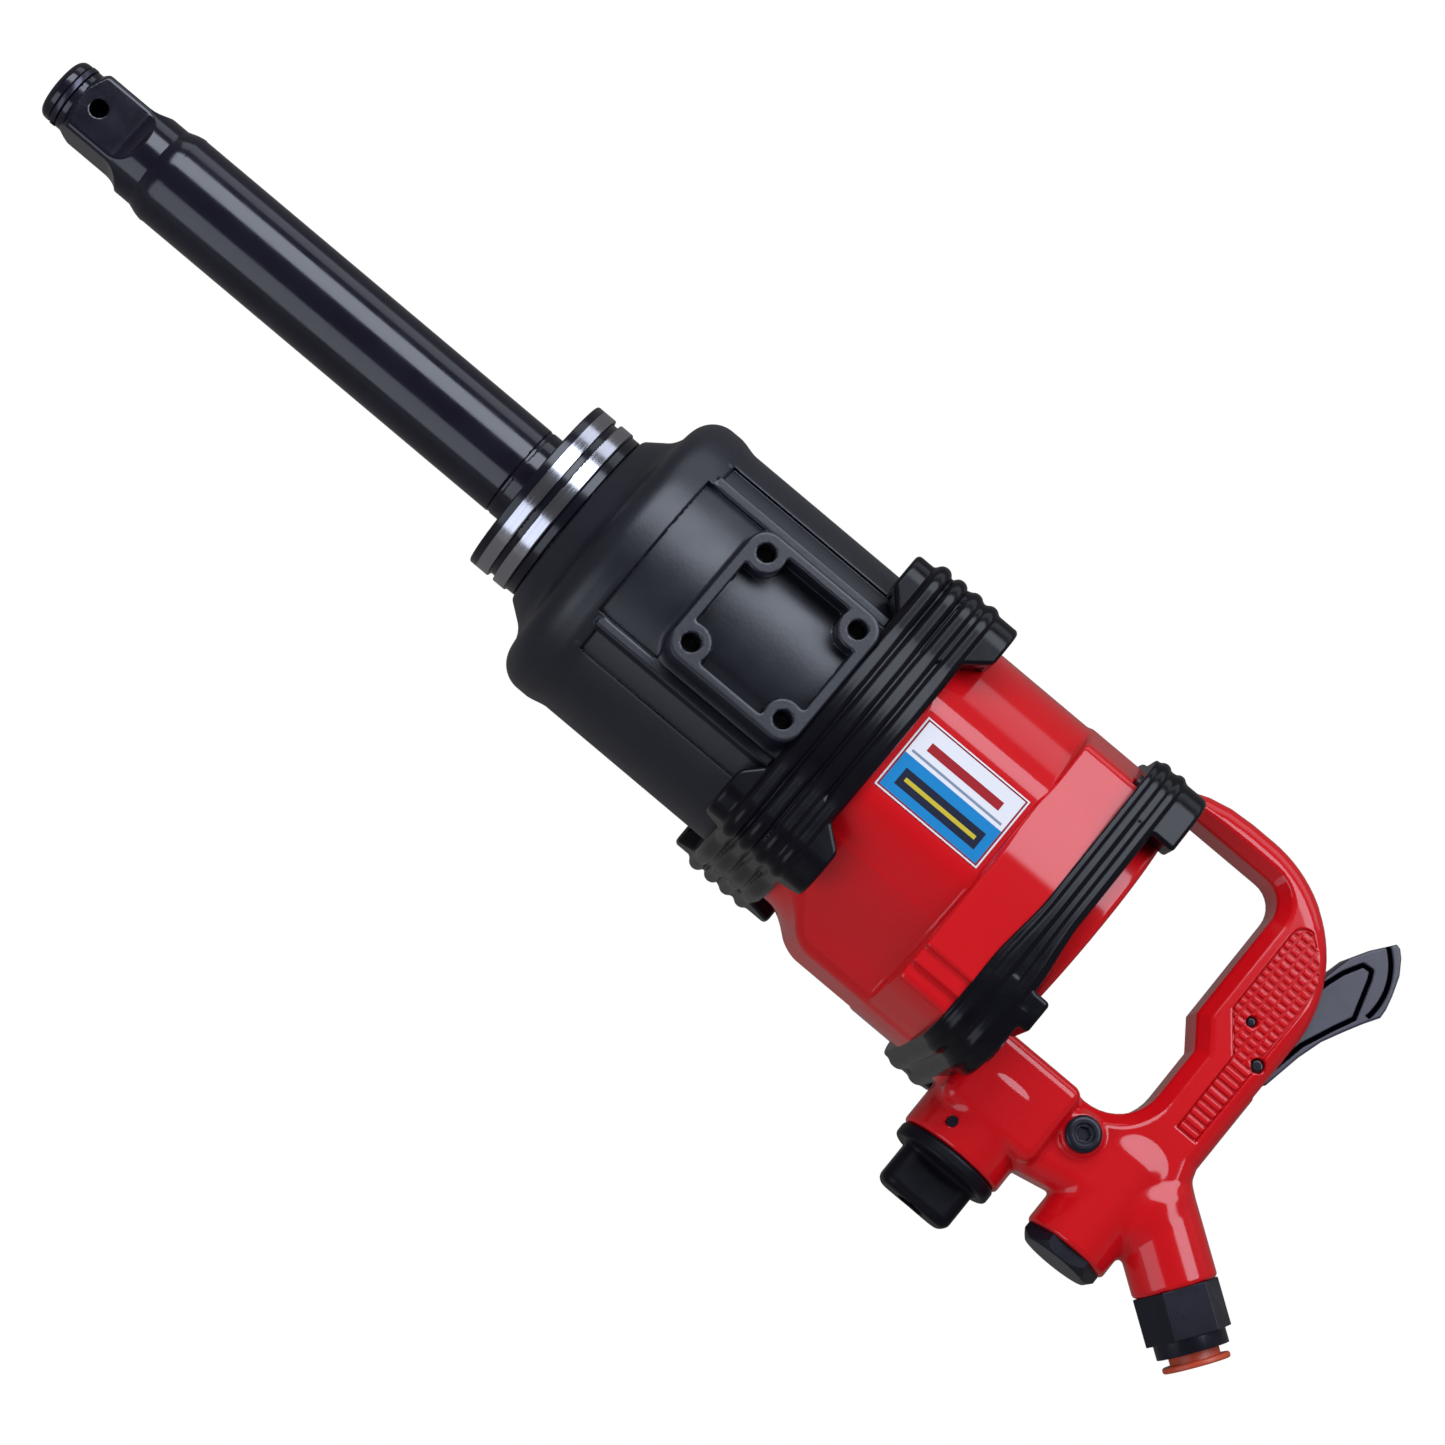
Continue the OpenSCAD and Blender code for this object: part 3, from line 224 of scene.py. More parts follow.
def unit(v):
    """Rows scaled to length 1."""
    return v / np.maximum(np.linalg.norm(v, axis=1), 1e-9)[:, None]


def build_mesh(name, points, quads, normals=None):
    """Object made of quads, from points in millimetres."""
    mesh = bpy.data.meshes.new(name)
    mesh.vertices.add(len(points))
    mesh.vertices.foreach_set("co", (points * MM).astype(np.float32).ravel())
    mesh.loops.add(quads.size)
    mesh.loops.foreach_set("vertex_index", quads.astype(np.int32).ravel())
    mesh.polygons.add(len(quads))
    mesh.polygons.foreach_set("loop_start", np.arange(len(quads), dtype=np.int32) * quads.shape[1])
    mesh.update(calc_edges=True)
    mesh.polygons.foreach_set("use_smooth", np.ones(len(quads), bool))
    if normals is not None:
        mesh.normals_split_custom_set_from_vertices(normals)
    obj = bpy.data.objects.new(name, mesh)
    bpy.context.scene.collection.objects.link(obj)
    return obj


def cast(name, field, node, body, material, step, span=None):
    """Meshes a field, in place of a CAD node and in its space, or inside a span of its own."""
    low, high = mm_box(node) if span is None else np.array(span, float)
    low, high = low - MARGIN * step, high + MARGIN * step
    cells, quads = surface_net(sample(field, low, high, step))
    points = to_surface(field, low + (cells + 0.5) * step, step, 2)
    for _ in range(2):
        points = relax(points, quads, unit(gradient(field, points, step * 0.25)))
        points = to_surface(field, points, step, 1)
    points = np.clip(points, low + MARGIN * step - OVERHANG, high - MARGIN * step + OVERHANG)
    normals = unit(gradient(field, points, step * 0.4))
    obj = build_mesh(name, points, quads, normals)
    obj.data.materials.append(material)
    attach(obj, body)
    if span is None:
        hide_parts(node)
    return obj


# ---- materials ----

def shader(name, color, rough=0.4, metal=0.0, coat=0.0, coat_rough=0.05, specular=0.5):
    """Plain material, from a linear colour."""
    mat = bpy.data.materials.new(name)
    mat.use_nodes = True
    main = mat.node_tree.nodes["Principled BSDF"]
    main.inputs["Base Color"].default_value = (*color, 1)
    main.inputs["Roughness"].default_value = rough
    main.inputs["Metallic"].default_value = metal
    main.inputs["Coat Weight"].default_value = coat
    main.inputs["Coat Roughness"].default_value = coat_rough
    main.inputs["Specular IOR Level"].default_value = specular
    return mat


def rgb(r, g, b):
    """Linear colour from screen values of 0 to 255."""
    return tuple(((v / 255 + 0.055) / 1.055) ** 2.4 if v > 10 else v / 255 / 12.92 for v in (r, g, b))


def add(mat, kind, **settings):
    """Shader node with its properties or inputs set."""
    node = mat.node_tree.nodes.new(kind)
    for key, value in settings.items():
        if hasattr(node, key):
            setattr(node, key, value)
        else:
            node.inputs[key].default_value = value
    return node


def place(mat, stretch=(1, 1, 1)):
    """Object coordinates, stretched along the axes."""
    coords = add(mat, "ShaderNodeTexCoord")
    scale = add(mat, "ShaderNodeMapping")
    scale.inputs["Scale"].default_value = stretch
    mat.node_tree.links.new(coords.outputs["Object"], scale.inputs["Vector"])
    return scale.outputs["Vector"]


def noise(mat, scale, detail=3.0, stretch=(1, 1, 1)):
    """Noise of a scale in cycles a metre, from 0 to 1."""
    tex = add(mat, "ShaderNodeTexNoise", Scale=scale, Detail=detail)
    mat.node_tree.links.new(place(mat, stretch), tex.inputs["Vector"])
    return tex.outputs["Fac"]


def ramp(mat, value, low, high, start=0.3, end=0.7):
    """Maps a 0 to 1 value onto low to high: numbers or colours."""
    node = add(mat, "ShaderNodeValToRGB")
    for stop, place_at, level in zip(node.color_ramp.elements, (start, end), (low, high)):
        stop.position = place_at
        stop.color = (level, level, level, 1) if isinstance(level, float) else (*level, 1)
    mat.node_tree.links.new(value, node.inputs["Fac"])
    return node.outputs["Color"]


def feed(mat, value, socket):
    """Links a value to an input of the surface."""
    mat.node_tree.links.new(value, mat.node_tree.nodes["Principled BSDF"].inputs[socket])


def bumps(mat, value, height):
    """Fine relief of a height in metres."""
    bump = add(mat, "ShaderNodeBump", Strength=1.0, Distance=height)
    mat.node_tree.links.new(value, bump.inputs["Height"])
    feed(mat, bump.outputs["Normal"], "Normal")


def textured(name, dark, light, rough, metal=0.0, grain=900, height=0.00002, blotch=60, coat=0.0,
             coat_rough=0.05, stretch=(1, 1, 1), specular=0.5):
    """A surface with blotchy colour, uneven gloss and a fine grain."""
    mat = shader(name, dark, rough[0], metal, coat, coat_rough, specular)
    patch = noise(mat, blotch, 4.0, stretch)
    feed(mat, ramp(mat, patch, dark, light), "Base Color")
    feed(mat, ramp(mat, noise(mat, blotch * 2.3, 5.0, stretch), rough[0], rough[1]), "Roughness")
    bumps(mat, noise(mat, grain, 2.0, stretch), height)
    return mat


MATERIALS = {
    "black_oxide_steel": textured("black oxide", rgb(16, 14, 25), rgb(22, 20, 32), (0.12, 0.18), specular=0.6,
                                  grain=260, height=0.0000003, blotch=45),
    "polished_steel": textured("polished steel", rgb(205, 205, 212), rgb(235, 235, 240), (0.12, 0.22), 1.0,
                               grain=1400, height=0.000008, stretch=(1, 0.15, 0.15)),
    "machine_steel": textured("machined steel", rgb(120, 120, 126), rgb(160, 160, 166), (0.28, 0.42), 1.0),
    "bearing_steel": textured("bearing steel", rgb(190, 192, 198), rgb(215, 217, 222), (0.12, 0.2), 1.0),
    "bearing_bronze": textured("bronze", rgb(175, 125, 65), rgb(200, 150, 85), (0.25, 0.38), 1.0),
    "case_alloy": textured("cast case", rgb(16, 16, 25), rgb(21, 22, 32), (0.34, 0.42), specular=0.65,
                           grain=700, height=0.00004, blotch=30),
    "red_enamel": textured("red enamel", rgb(192, 8, 17), rgb(197, 10, 20), (0.5, 0.6),
                           grain=420, height=0.000001, blotch=25, coat=1.0, coat_rough=0.12,
                           specular=0.05),
    "guard_rubber": textured("guard rubber", rgb(9, 8, 14), rgb(13, 12, 18), (0.2, 0.26),
                             grain=500, height=0.000002, specular=0.26),
    "lever_paint": textured("lever paint", rgb(56, 54, 64), rgb(63, 61, 71), (0.36, 0.46),
                            grain=1200, height=0.00002),
    "black_plastic": textured("black plastic", rgb(10, 9, 15), rgb(15, 14, 21), (0.3, 0.4),
                              height=0.000005, specular=0.17),
    "black_steel": textured("black steel", rgb(22, 21, 30), rgb(30, 29, 40), (0.26, 0.32), 0.3,
                            height=0.000002, specular=0.45),
    "orange_plastic": textured("orange plastic", rgb(176, 62, 32), rgb(186, 70, 38), (0.34, 0.44)),
    "seal_rubber": shader("seal rubber", rgb(24, 24, 26), 0.55),
    "gasket_fibre": shader("gasket fibre", rgb(120, 112, 92), 0.8),
    "vane_composite": shader("vane composite", rgb(110, 74, 44), 0.6),
}


def plate_print():
    """Printed name plate: coloured fields laid out along X and Y, with no lettering."""
    mat = shader("plate print", (1, 1, 1), 0.45, specular=0.2)
    tree = mat.node_tree
    parts = add(mat, "ShaderNodeSeparateXYZ")
    tree.links.new(place(mat, (1 / MM,) * 3), parts.inputs[0])
    last = (0.86, 0.87, 0.9, 1)

    def inside(axis, low, high):
        over = add(mat, "ShaderNodeMath", operation="GREATER_THAN")
        under = add(mat, "ShaderNodeMath", operation="LESS_THAN")
        both = add(mat, "ShaderNodeMath", operation="MULTIPLY")
        for node, limit, k in ((over, low, 0), (under, high, 1)):
            node.inputs[1].default_value = limit
            tree.links.new(parts.outputs[axis], node.inputs[0])
            tree.links.new(node.outputs[0], both.inputs[k])
        return both.outputs[0]

    for color, (x0, x1), (y0, y1) in PLATE_FIELDS:
        area = add(mat, "ShaderNodeMath", operation="MULTIPLY")
        tree.links.new(inside(0, x0, x1), area.inputs[0])
        tree.links.new(inside(1, y0, y1), area.inputs[1])
        mix = add(mat, "ShaderNodeMix", data_type="RGBA")
        tree.links.new(area.outputs[0], mix.inputs["Factor"])
        if isinstance(last, tuple):
            mix.inputs[6].default_value = last
        else:
            tree.links.new(last, mix.inputs[6])
        mix.inputs[7].default_value = (*rgb(*color), 1)
        last = mix.outputs[2]
    feed(mat, last, "Base Color")
    return mat


# Colour, X span and Y span of each printed field, from the bottom layer up
PLATE_FIELDS = [
    ((214, 212, 214), (371.0, 418.0), (-16.0, 15.0)),
    ((128, 18, 30), (371.7, 417.3), (-15.4, 14.4)),
    ((214, 212, 214), (372.4, 416.6), (-14.8, 13.8)),
    ((0, 118, 176), (372.4, 416.6), (-14.8, 0.0)),
    ((10, 18, 44), (376.4, 413.0), (-11.4, -4.2)),
    ((190, 170, 40), (378.6, 410.8), (-8.6, -7.0)),
    ((150, 14, 26), (378.0, 411.0), (5.0, 8.6)),
    ((120, 132, 150), (374.0, 415.0), (1.4, 2.4)),
]
MATERIALS["plate_print"] = plate_print()


def paint_shade(mat, stretch, distance, margin, color):
    """Painted shade: darkens a surface and takes away its gloss where it lies at a distance from the origin,
    with each axis scaled by stretch.
    """
    tree = mat.node_tree
    main = tree.nodes["Principled BSDF"]
    length = add(mat, "ShaderNodeVectorMath", operation="LENGTH")
    tree.links.new(place(mat, [a / MM for a in stretch]), length.inputs[0])
    near = add(mat, "ShaderNodeMath", operation="COMPARE")
    near.inputs[1].default_value, near.inputs[2].default_value = distance, margin
    tree.links.new(length.outputs["Value"], near.inputs[0])
    gloss = add(mat, "ShaderNodeMath", operation="MULTIPLY_ADD")
    level = main.inputs["Specular IOR Level"].default_value
    gloss.inputs[1].default_value, gloss.inputs[2].default_value = -level, level
    tree.links.new(near.outputs[0], gloss.inputs[0])
    feed(mat, gloss.outputs[0], "Specular IOR Level")
    mix = add(mat, "ShaderNodeMix", data_type="RGBA")
    tree.links.new(near.outputs[0], mix.inputs["Factor"])
    tree.links.new(main.inputs["Base Color"].links[0].from_socket, mix.inputs[6])
    mix.inputs[7].default_value = (*color, 1)
    feed(mat, mix.outputs[2], "Base Color")


# Height in Z of the floor of the lever's grooves, and the radius of the painted shade around the anvil's
# cross hole
LEVER_FLOOR, CROSS_HOLE_SHADE = 6.9, 3.6
# Painted shade: the floors of the lever's grooves are darkened nearly to black and lose their gloss
paint_shade(MATERIALS["lever_paint"], (0, 0, 1), LEVER_FLOOR, 0.3, rgb(2, 2, 5))
# Painted shade: black oxide is darkened nearly to black and loses its gloss within a radius of the anvil's
# cross hole axis, hiding the floor's light on the hole's wall
paint_shade(MATERIALS["black_oxide_steel"], (1, 1, 0), 0, CROSS_HOLE_SHADE, rgb(1, 1, 2))
RING_STEEL = shader("ring steel", rgb(70, 68, 80), 0.3, metal=0.9)


# Middle and half width along X of the two ground lands on the nose sleeve
GROUND_LANDS = ((213.4, 2.5), (221.2, 2.5))


def nose_steel():
    """Black oxide with two ground lands."""
    oxide, bright = rgb(16, 15, 24), rgb(200, 200, 210)
    mat = shader("nose steel", oxide, 0.2, specular=0.5)
    tree = mat.node_tree
    parts = add(mat, "ShaderNodeSeparateXYZ")
    tree.links.new(place(mat, (1 / MM,) * 3), parts.inputs[0])
    total = None
    for middle, half in GROUND_LANDS:
        near = add(mat, "ShaderNodeMath", operation="COMPARE")
        near.inputs[1].default_value, near.inputs[2].default_value = middle, half
        tree.links.new(parts.outputs[0], near.inputs[0])
        if total is not None:
            both = add(mat, "ShaderNodeMath", operation="ADD")
            tree.links.new(total, both.inputs[0])
            tree.links.new(near.outputs[0], both.inputs[1])
            near = both
        total = near.outputs[0]
    feed(mat, ramp(mat, total, oxide, bright, 0.0, 1.0), "Base Color")
    feed(mat, total, "Metallic")
    turning = noise(mat, 2500, 2.0, (1, 0.02, 0.02))
    feed(mat, ramp(mat, turning, 0.12, 0.22), "Roughness")
    return mat


NOSE_STEEL = nose_steel()


# ---- hammer case ----

CASE_R, SHOULDER_R = 59.6, 61.2


FRONT_BOLT = 49


def flange_gap(y, z):
    """Distance outside the square of the front joint's bolt centres."""
    return box2(y, z, FRONT_BOLT, FRONT_BOLT)


def off_front_bolt(y, z):
    """Distance from the nearest bolt of the front joint."""
    return np.hypot(np.abs(y) - FRONT_BOLT, np.abs(z) - FRONT_BOLT)


def off_rear_bolt(y, z):
    """Distance from the nearest bolt of the rear joint."""
    return np.hypot(np.where(y > 0, y - 47.5, y + 58), np.abs(z) - 47.5)


def hammer_case(x, y, z):
    """Round barrel with a shoulder, the side handle pad on +Z and the front joint's flange."""
    rad = np.hypot(y, z)
    ay, az = np.abs(y), np.abs(z)
    cone = meet(-0.6 * (x - 228.4) + 0.8 * (rad - 37.3), slab(x, 228.4, 246), 1.0)
    ease = np.clip((x - 255) / 9, 0, 1)
    barrel = rad - SHOULDER_R + (SHOULDER_R - CASE_R) * ease * ease * (3 - 2 * ease)
    d = meet(meet(barrel, 239.8 - x, 11.2), x - 353.7, 0.5)
    d = join(d, cone, 4.0)
    diagonal, across = (ay + az) / math.sqrt(2), (ay - az) / math.sqrt(2)
    ridge = meet(meet(np.abs(across) - 0.9, diagonal - 60.6, 0.6), slab(x, 259, 342))
    ridge = np.maximum(ridge, 52 - diagonal)
    d = join(d, ridge, 0.8)
    top = -z
    channel = np.maximum(np.maximum(slab(ay, 35.4, 43.2), 58.2 - rad), np.maximum(slab(x, 261, 352), top))
    d = cut(d, channel, 1.0)
    recess = np.maximum(np.maximum(ay - 30.6, 58.0 - rad), np.maximum(slab(x, 257.6, 284), top))
    d = cut(d, recess, 0.6)
    strip = meet(meet(slab(ay, 30.8, 35.2), z - 51.4, 0.8), slab(x, 259.4, 339), 0.6)
    d = join(d, np.maximum(strip, 40 - z), 0.4)
    pad_x, half = x - 311, 29.0
    pad = meet(meet(box2(pad_x, y, half, half, 8), z - 66, 1.2), 40 - z)
    d = join(d, pad, 2.2)
    corner = join(np.hypot(np.abs(pad_x) - 21, ay - 21) - 7.6, box2(np.abs(pad_x) - 29, ay - 29, 11, 11), 1.5)
    pocket = cut(box2(pad_x, y, half - 4.4, half - 4.4, 3), corner, 1.5)
    d = cut(d, np.maximum(pocket, CASE_R - 0.4 - np.where(z > 0, rad, 0)), 0.7)
    flange = meet(flange_gap(y, z) - 10, slab(x, 341, 353.7), 0.6)
    boss = meet(off_front_bolt(y, z) - 9.7, slab(x, 338.4, 353.7), 0.6)
    d = join(d, join(flange, boss), 0.6)
    d = cut(d, meet(rad - 53, 246.3 - x), 0.5)
    d = cut(d, rad - 34.05, 0.4)
    d = cut(d, off_front_bolt(y, z) - 4.2, 0.3)
    hole = np.maximum(np.hypot(np.abs(pad_x) - 21, ay - 21) - 3.4, 54 - z)
    return cut(d, hole, 0.4)


# ---- motor housing ----

HOUSING_R, FLAT_Z = 62.0, 58.6
HOUSING_X = (354.3, 450.7)

# Planes of the squared rear section: a point [y, z] and the outward normal, for the +Z half
SQUARED_PLANES = [
    (2, 63.6, 10.6, 44), (46, 53, 25, 11), (57, 28, 16, 5.2), (62.2, 12, 12, 1.4),
    (-62.6, 59, -9, 3.4), (-66, 50, -20, 3), (-69, 30, -12.5, 1.8),
]


def squared_section(y, z, r=2.2):
    """Cross section of the squared rear of the housing, with its edges rounded to r."""
    az = np.abs(z)
    step_1, step_2 = (np.clip((edge - y) / 0.9, 0, 1) for edge in (-48.6, -55.6))
    d = az - (63.6 - 2.1 * step_1 - 2.5 * step_2)
    d = meet(d, -70.8 - y, r)
    for y0, z0, ny, nz in SQUARED_PLANES:
        d = meet(d, (ny * (y - y0) + nz * (az - z0)) / math.hypot(ny, nz), r)
    return d


def motor_housing(x, y, z):
    """Barrel that turns square towards the rear, with the exhaust duct below."""
    rad, az = np.hypot(y, z), np.abs(z)
    d = rad - HOUSING_R
    flat = np.maximum(FLAT_Z - z, slab(x, 369.2, 419.9))
    d = cut(d, flat, 1.0)
    duct = meet(-0.64 * (y + 70.8) + 0.768 * (az - 17.5), -70.8 - y, 4.0)
    duct = meet(duct, -0.701 * (x - 377) - 0.713 * (y + 60), 4.0)
    duct = np.maximum(duct, 0.768 * (y + 42))
    d = join(d, duct, 5.0)
    d = meet(d, slab(x, *HOUSING_X), 0.5)
    square = meet(squared_section(y, z), slab(x, 420.7, HOUSING_X[1]), 1.6)
    d = join(d, square, 1.4)
    flange = meet(flange_gap(y, z) - 10, slab(x, HOUSING_X[0], 366), 0.6)
    boss = meet(off_front_bolt(y, z) - 9.7, slab(x, HOUSING_X[0], 369.6), 0.6)
    lobe = off_rear_bolt(y, z)
    d = join(d, join(flange, boss), 0.8)
    d = join(d, meet(lobe - 10.0, slab(x, 447, HOUSING_X[1]), 0.6))
    d = cut(d, meet(rad - 52, 357 - x), 0.5)
    d = cut(d, rad - 45, 0.4)
    cavity = np.maximum(np.maximum(slab(x, 392, 446), slab(y, -65.8, -48)), az - 14)
    d = cut(d, cavity, 0.6)
    pitch = x - 399.5 - 8 * np.clip(np.round((x - 399.5) / 8), 0, 4)
    d = cut(d, np.maximum(box2(pitch, y + 57, 1.5, 5, 1.4), z + 10), 0.5)
    d = cut(d, np.maximum(off_front_bolt(y, z) - 4.2, x - 371), 0.3)
    return cut(d, np.maximum(lobe - 4.05, 442.5 - x), 0.3)


# ---- rubber guards ----

def front_guard(x, y, z):
    """Four ribs around a squared lip, with a tab over each bolt."""
    rad, ay, az = np.hypot(y, z), np.abs(y), np.abs(z)
    square = flange_gap(y, z)
    g = join(square - 13, rad - 64, 7.0) + 13
    d = meet(g - 11.6, slab(x, 339, 368.6), 1.0)
    near = x - 342.85 - 7.3 * np.clip(np.round((x - 342.85) / 7.3), 0, 3)
    d = join(d, np.hypot(near, np.maximum(g - 10.6, -4)) - 3.4, 0.7)
    tab_r = np.where(x < 353.8, 11.0, 12.6)
    tab = meet(square - tab_r, slab(x, 331.5, 377), 1.8)
    inner = np.minimum(ay, az)
    tab = meet(tab, 0.683 * (43 - inner) - 0.730 * (x - 332), 1.4)
    tab = meet(tab, 0.773 * (44 - inner) + 0.634 * (x - 377), 1.4)
    d = join(d, tab, 0.6)
    cavity = np.maximum(square - 9.6, slab(x, 341, 366.6))
    bolt = np.maximum(off_front_bolt(y, z) - 8.6, slab(x, 333.4, 375))
    d = cut(d, np.minimum(cavity, bolt), 0.4)
    return cut(d, rad - np.where(x < 354, 59.2, 61.2), 0.4)


def rear_guard(x, y, z):
    """Two ribs on a lip that narrows towards the top, with tabs over the bolts."""
    rad, az = np.hypot(y, z), np.abs(z)
    middle_y = y + 5.25
    section = squared_section(y, z, 6.0)
    side = meet(np.hypot(y + 24, az + 363.1) - 430, -0.533 * (y + 58) + 0.847 * (az - 47.5) - 15, 8.0)
    g = meet(meet(side, y - 61, 13.5), -73 - y, 13.5)
    g = join(g, np.maximum(rad - 66.5, 30 - y), 2.0)
    rise = np.clip((y + 38) / 30, 0, 1)
    rise = rise * rise * (3 - 2 * rise)
    front, back = 441.5 + 2.3 * rise, 461 - 2.6 * rise
    band = 461 - (back - x) * 19.5 / (back - front)
    d = meet(g + 1.5, slab(band, 441.5, 461), 1.2)
    d = join(d, meet(g + 0.1, slab(band, 443.4, 451.6), 3.9), 0.7)
    d = join(d, meet(g, slab(band, 452.8, 460.4), 3.7), 0.7)
    upper = meet(34 - az, 34 - y, 2.0)
    lower = meet(meet(34 - az, y + 37, 2.0), -50 - y, 3.0)
    tab = meet(meet(g + 1.4, slab(x, 450, 468), 2.2), np.minimum(upper, lower), 1.6)
    heel = meet(meet(g + 1.4, slab(x, 450, 464), 2.2), np.maximum(34 - az, y + 44), 1.6)
    d = join(join(d, tab, 0.8), heel, 0.8)
    lobe = off_rear_bolt(y, z)
    inner = np.minimum(section + 1.3, rad - 60.5)
    d = cut(d, np.maximum(inner, x - 451.3), 0.4)
    seat = np.minimum(box2(middle_y, z, 52.75, 47.5) - 9.6, rad - 60.5)
    d = cut(d, np.maximum(seat, np.maximum(slab(x, 443, 459.3), slab(band, 444, 459.3))), 0.4)
    d = cut(d, np.maximum(lobe - 7.5, slab(x, 450, 466)), 0.4)
    return cut(d, np.maximum(rad - 57.3, 450 - x), 0.6)


# ---- backhead ----

LOOP = ([(455.3, 63.6), (463, 68.2), (471, 71.5), (480, 73.6), (490, 74.3)] + arc(499.6, 21, 53.3, 90, 0, 24)
        + [(552.5, -38), (560, -62), (550, -76), (519, -77), (500, -81), (455.3, -72)])
WINDOW = ([(464, 61)] + arc(506, 50.4, 10.6, 90, 0, 8) + [(516.6, 6), (524.5, -5)]
          + arc(505, -26, 19.5, 0, -90, 10) + [(464, -45.5)])
SLOT = [(528.2, -4.5), (528.2, 13), (532, 19), (529, 40), (528.5, 80), (600, 80), (600, 0), (553, -4.5)]
PANEL = ([(525, 15)] + arc(531, 50, 6, 180, 90, 5) + arc(524.5, 34, 21.5, 62, 0, 6)
         + [(544.6, -32), (536, -32), (536, 1.5)])
AIM = math.radians(35)
VALVE_X, REGULATOR_X = 533.6, 480.3
# Places in X and Y of the pins and the plug that cross the backhead along Z
LEVER_PIN, STOP_PIN, OIL_PLUG = (545.4, 4.7), (533.8, 15.8), (510.9, -56.8)


def off(x, y, centre):
    """Distance from an axis along Z."""
    return np.hypot(x - centre[0], y - centre[1])


def along_inlet(x, y):
    """Place along the inlet axis from its face, and the distance beside it, in the XY plane."""
    dx, dy = x - 574, y + 75.2
    return dx * math.cos(AIM) - dy * math.sin(AIM), dx * math.sin(AIM) + dy * math.cos(AIM)


def pin_mouth(x, y):
    """Counterbores over the ends of the lever pin and the stop pin."""
    return np.minimum(off(x, y, LEVER_PIN) - 2.9, off(x, y, STOP_PIN) - 2.3)


def backhead(x, y, z):
    """Rear cover, D-handle, inlet arm and the bores of the valve and regulator, in one casting."""
    rad, az = np.hypot(y, z), np.abs(z)
    loop = outline(x, y, LOOP)
    window = outline(x, y, WINDOW)
    d = meet(loop, az - 14.5, 9.0)
    d = cut(d, window, 2.0)
    d = meet(d, (az - 14.5 - window + 5.0) / math.sqrt(2), 0.8)
    flange = np.minimum(box2(y + 5.25, z, 52.75, 47.5) - 10.0, rad - HOUSING_R)
    cover = rod(rad, x, 57, 451.3, 465.6, 3.0)
    cover = join(meet(flange, slab(x, 451.3, 456.8), 0.5), cover, 1.5)
    d = join(d, cover, 6.0)
    lobe = off_rear_bolt(y, z)
    d = join(d, meet(lobe - 9.8, slab(x, 451.3, 459), 0.5), 0.5)
    base = meet(meet(slab(x, 461, 503), slab(y, -79, -45), 5.0), az - 21, 5.0)
    d = join(d, base, 3.0)
    reg = rod(np.hypot(x - REGULATOR_X, z), y, 21, -91.6, -60, 1.6)
    d = join(d, reg, 2.0)
    valve = meet(meet(np.hypot(x - VALVE_X, z) - 17, -90.5 - y, 1.6), y + 40, 12.0)
    d = join(d, valve, 2.2)
    out, side = along_inlet(x, y)
    inlet = meet(meet(np.hypot(side, z) - 16, out, 1.8), -36 - out, 6.0)
    d = join(d, inlet, 4.0)
    oil = meet(off(x, y, OIL_PLUG) - 8.0, slab(z, 0, 17), 1.0)
    d = join(d, oil, 2.0)
    panel = outline(x, y, PANEL)
    d = cut(d, np.maximum(panel, 13.3 - az), 0.5)
    bore = np.hypot(x - REGULATOR_X, z) - 11.05
    d = cut(d, np.maximum(bore, slab(y, -93, -57)), 0.4)
    d = cut(d, np.maximum(np.hypot(x - VALVE_X, z) - 12.05, slab(y, -93, -44)), 0.4)
    d = cut(d, np.maximum(np.hypot(x - VALVE_X, z) - 3.1, slab(y, -46, 0)), 0.2)
    d = cut(d, np.maximum(outline(x, y, SLOT), az - 8.5), 0.7)
    d = cut(d, off(x, y, LEVER_PIN) - 2.52, 0.2)
    d = cut(d, off(x, y, STOP_PIN) - 1.82, 0.2)
    d = cut(d, np.maximum(pin_mouth(x, y), 11.6 - az), 0.4)
    d = cut(d, np.hypot(x - REGULATOR_X + 9, y + 84) - 1.92, 0.2)
    d = cut(d, np.maximum(off(x, y, OIL_PLUG) - 4.1, 8 - z), 0.2)
    d = cut(d, np.maximum(np.hypot(side, z) - 11.55, slab(out, -16, 3)), 0.4)
    d = cut(d, np.maximum(np.hypot(side, z) - 5, slab(out, -44, -10)))
    d = cut(d, np.maximum(lobe - 4.2, x - 459.5), 0.3)
    d = cut(d, np.maximum(rad - 24, x - 454.3))
    return cut(d, np.maximum(lobe - 7.5, slab(x, 459, 480)))


def grip_panel(x, y, z):
    """Small raised bars on a sunk floor, across the side of the grip."""
    panel = outline(x, y, PANEL)
    dy = (y + 200) % 3.3 - 1.65
    fine = np.abs((x + 400) % 4.2 - 2.1) - 1.62
    broad = np.abs(x - 540.4) - 4.6
    bars = meet(meet(np.where(y > 2, fine, broad), np.abs(dy) - 1.05, 0.5), np.abs(z) - 14.4, 0.5)
    d = np.minimum(np.abs(z) - 13.5, bars)
    d = np.maximum(np.maximum(d, panel + 0.5), 12.6 - np.abs(z))
    return cut(d, pin_mouth(x, y), 0.3)


def front_panel(x, y, z):
    return np.maximum(grip_panel(x, y, z), -z)


def back_panel(x, y, z):
    return np.maximum(grip_panel(x, y, z), z)


def lever_pin(x, y, z):
    return rod(off(x, y, LEVER_PIN), z, 2.5, -12.2, 12.2, 0.8)


def lever_stop_pin(x, y, z):
    return rod(off(x, y, STOP_PIN), z, 1.8, -12.2, 12.2, 0.7)


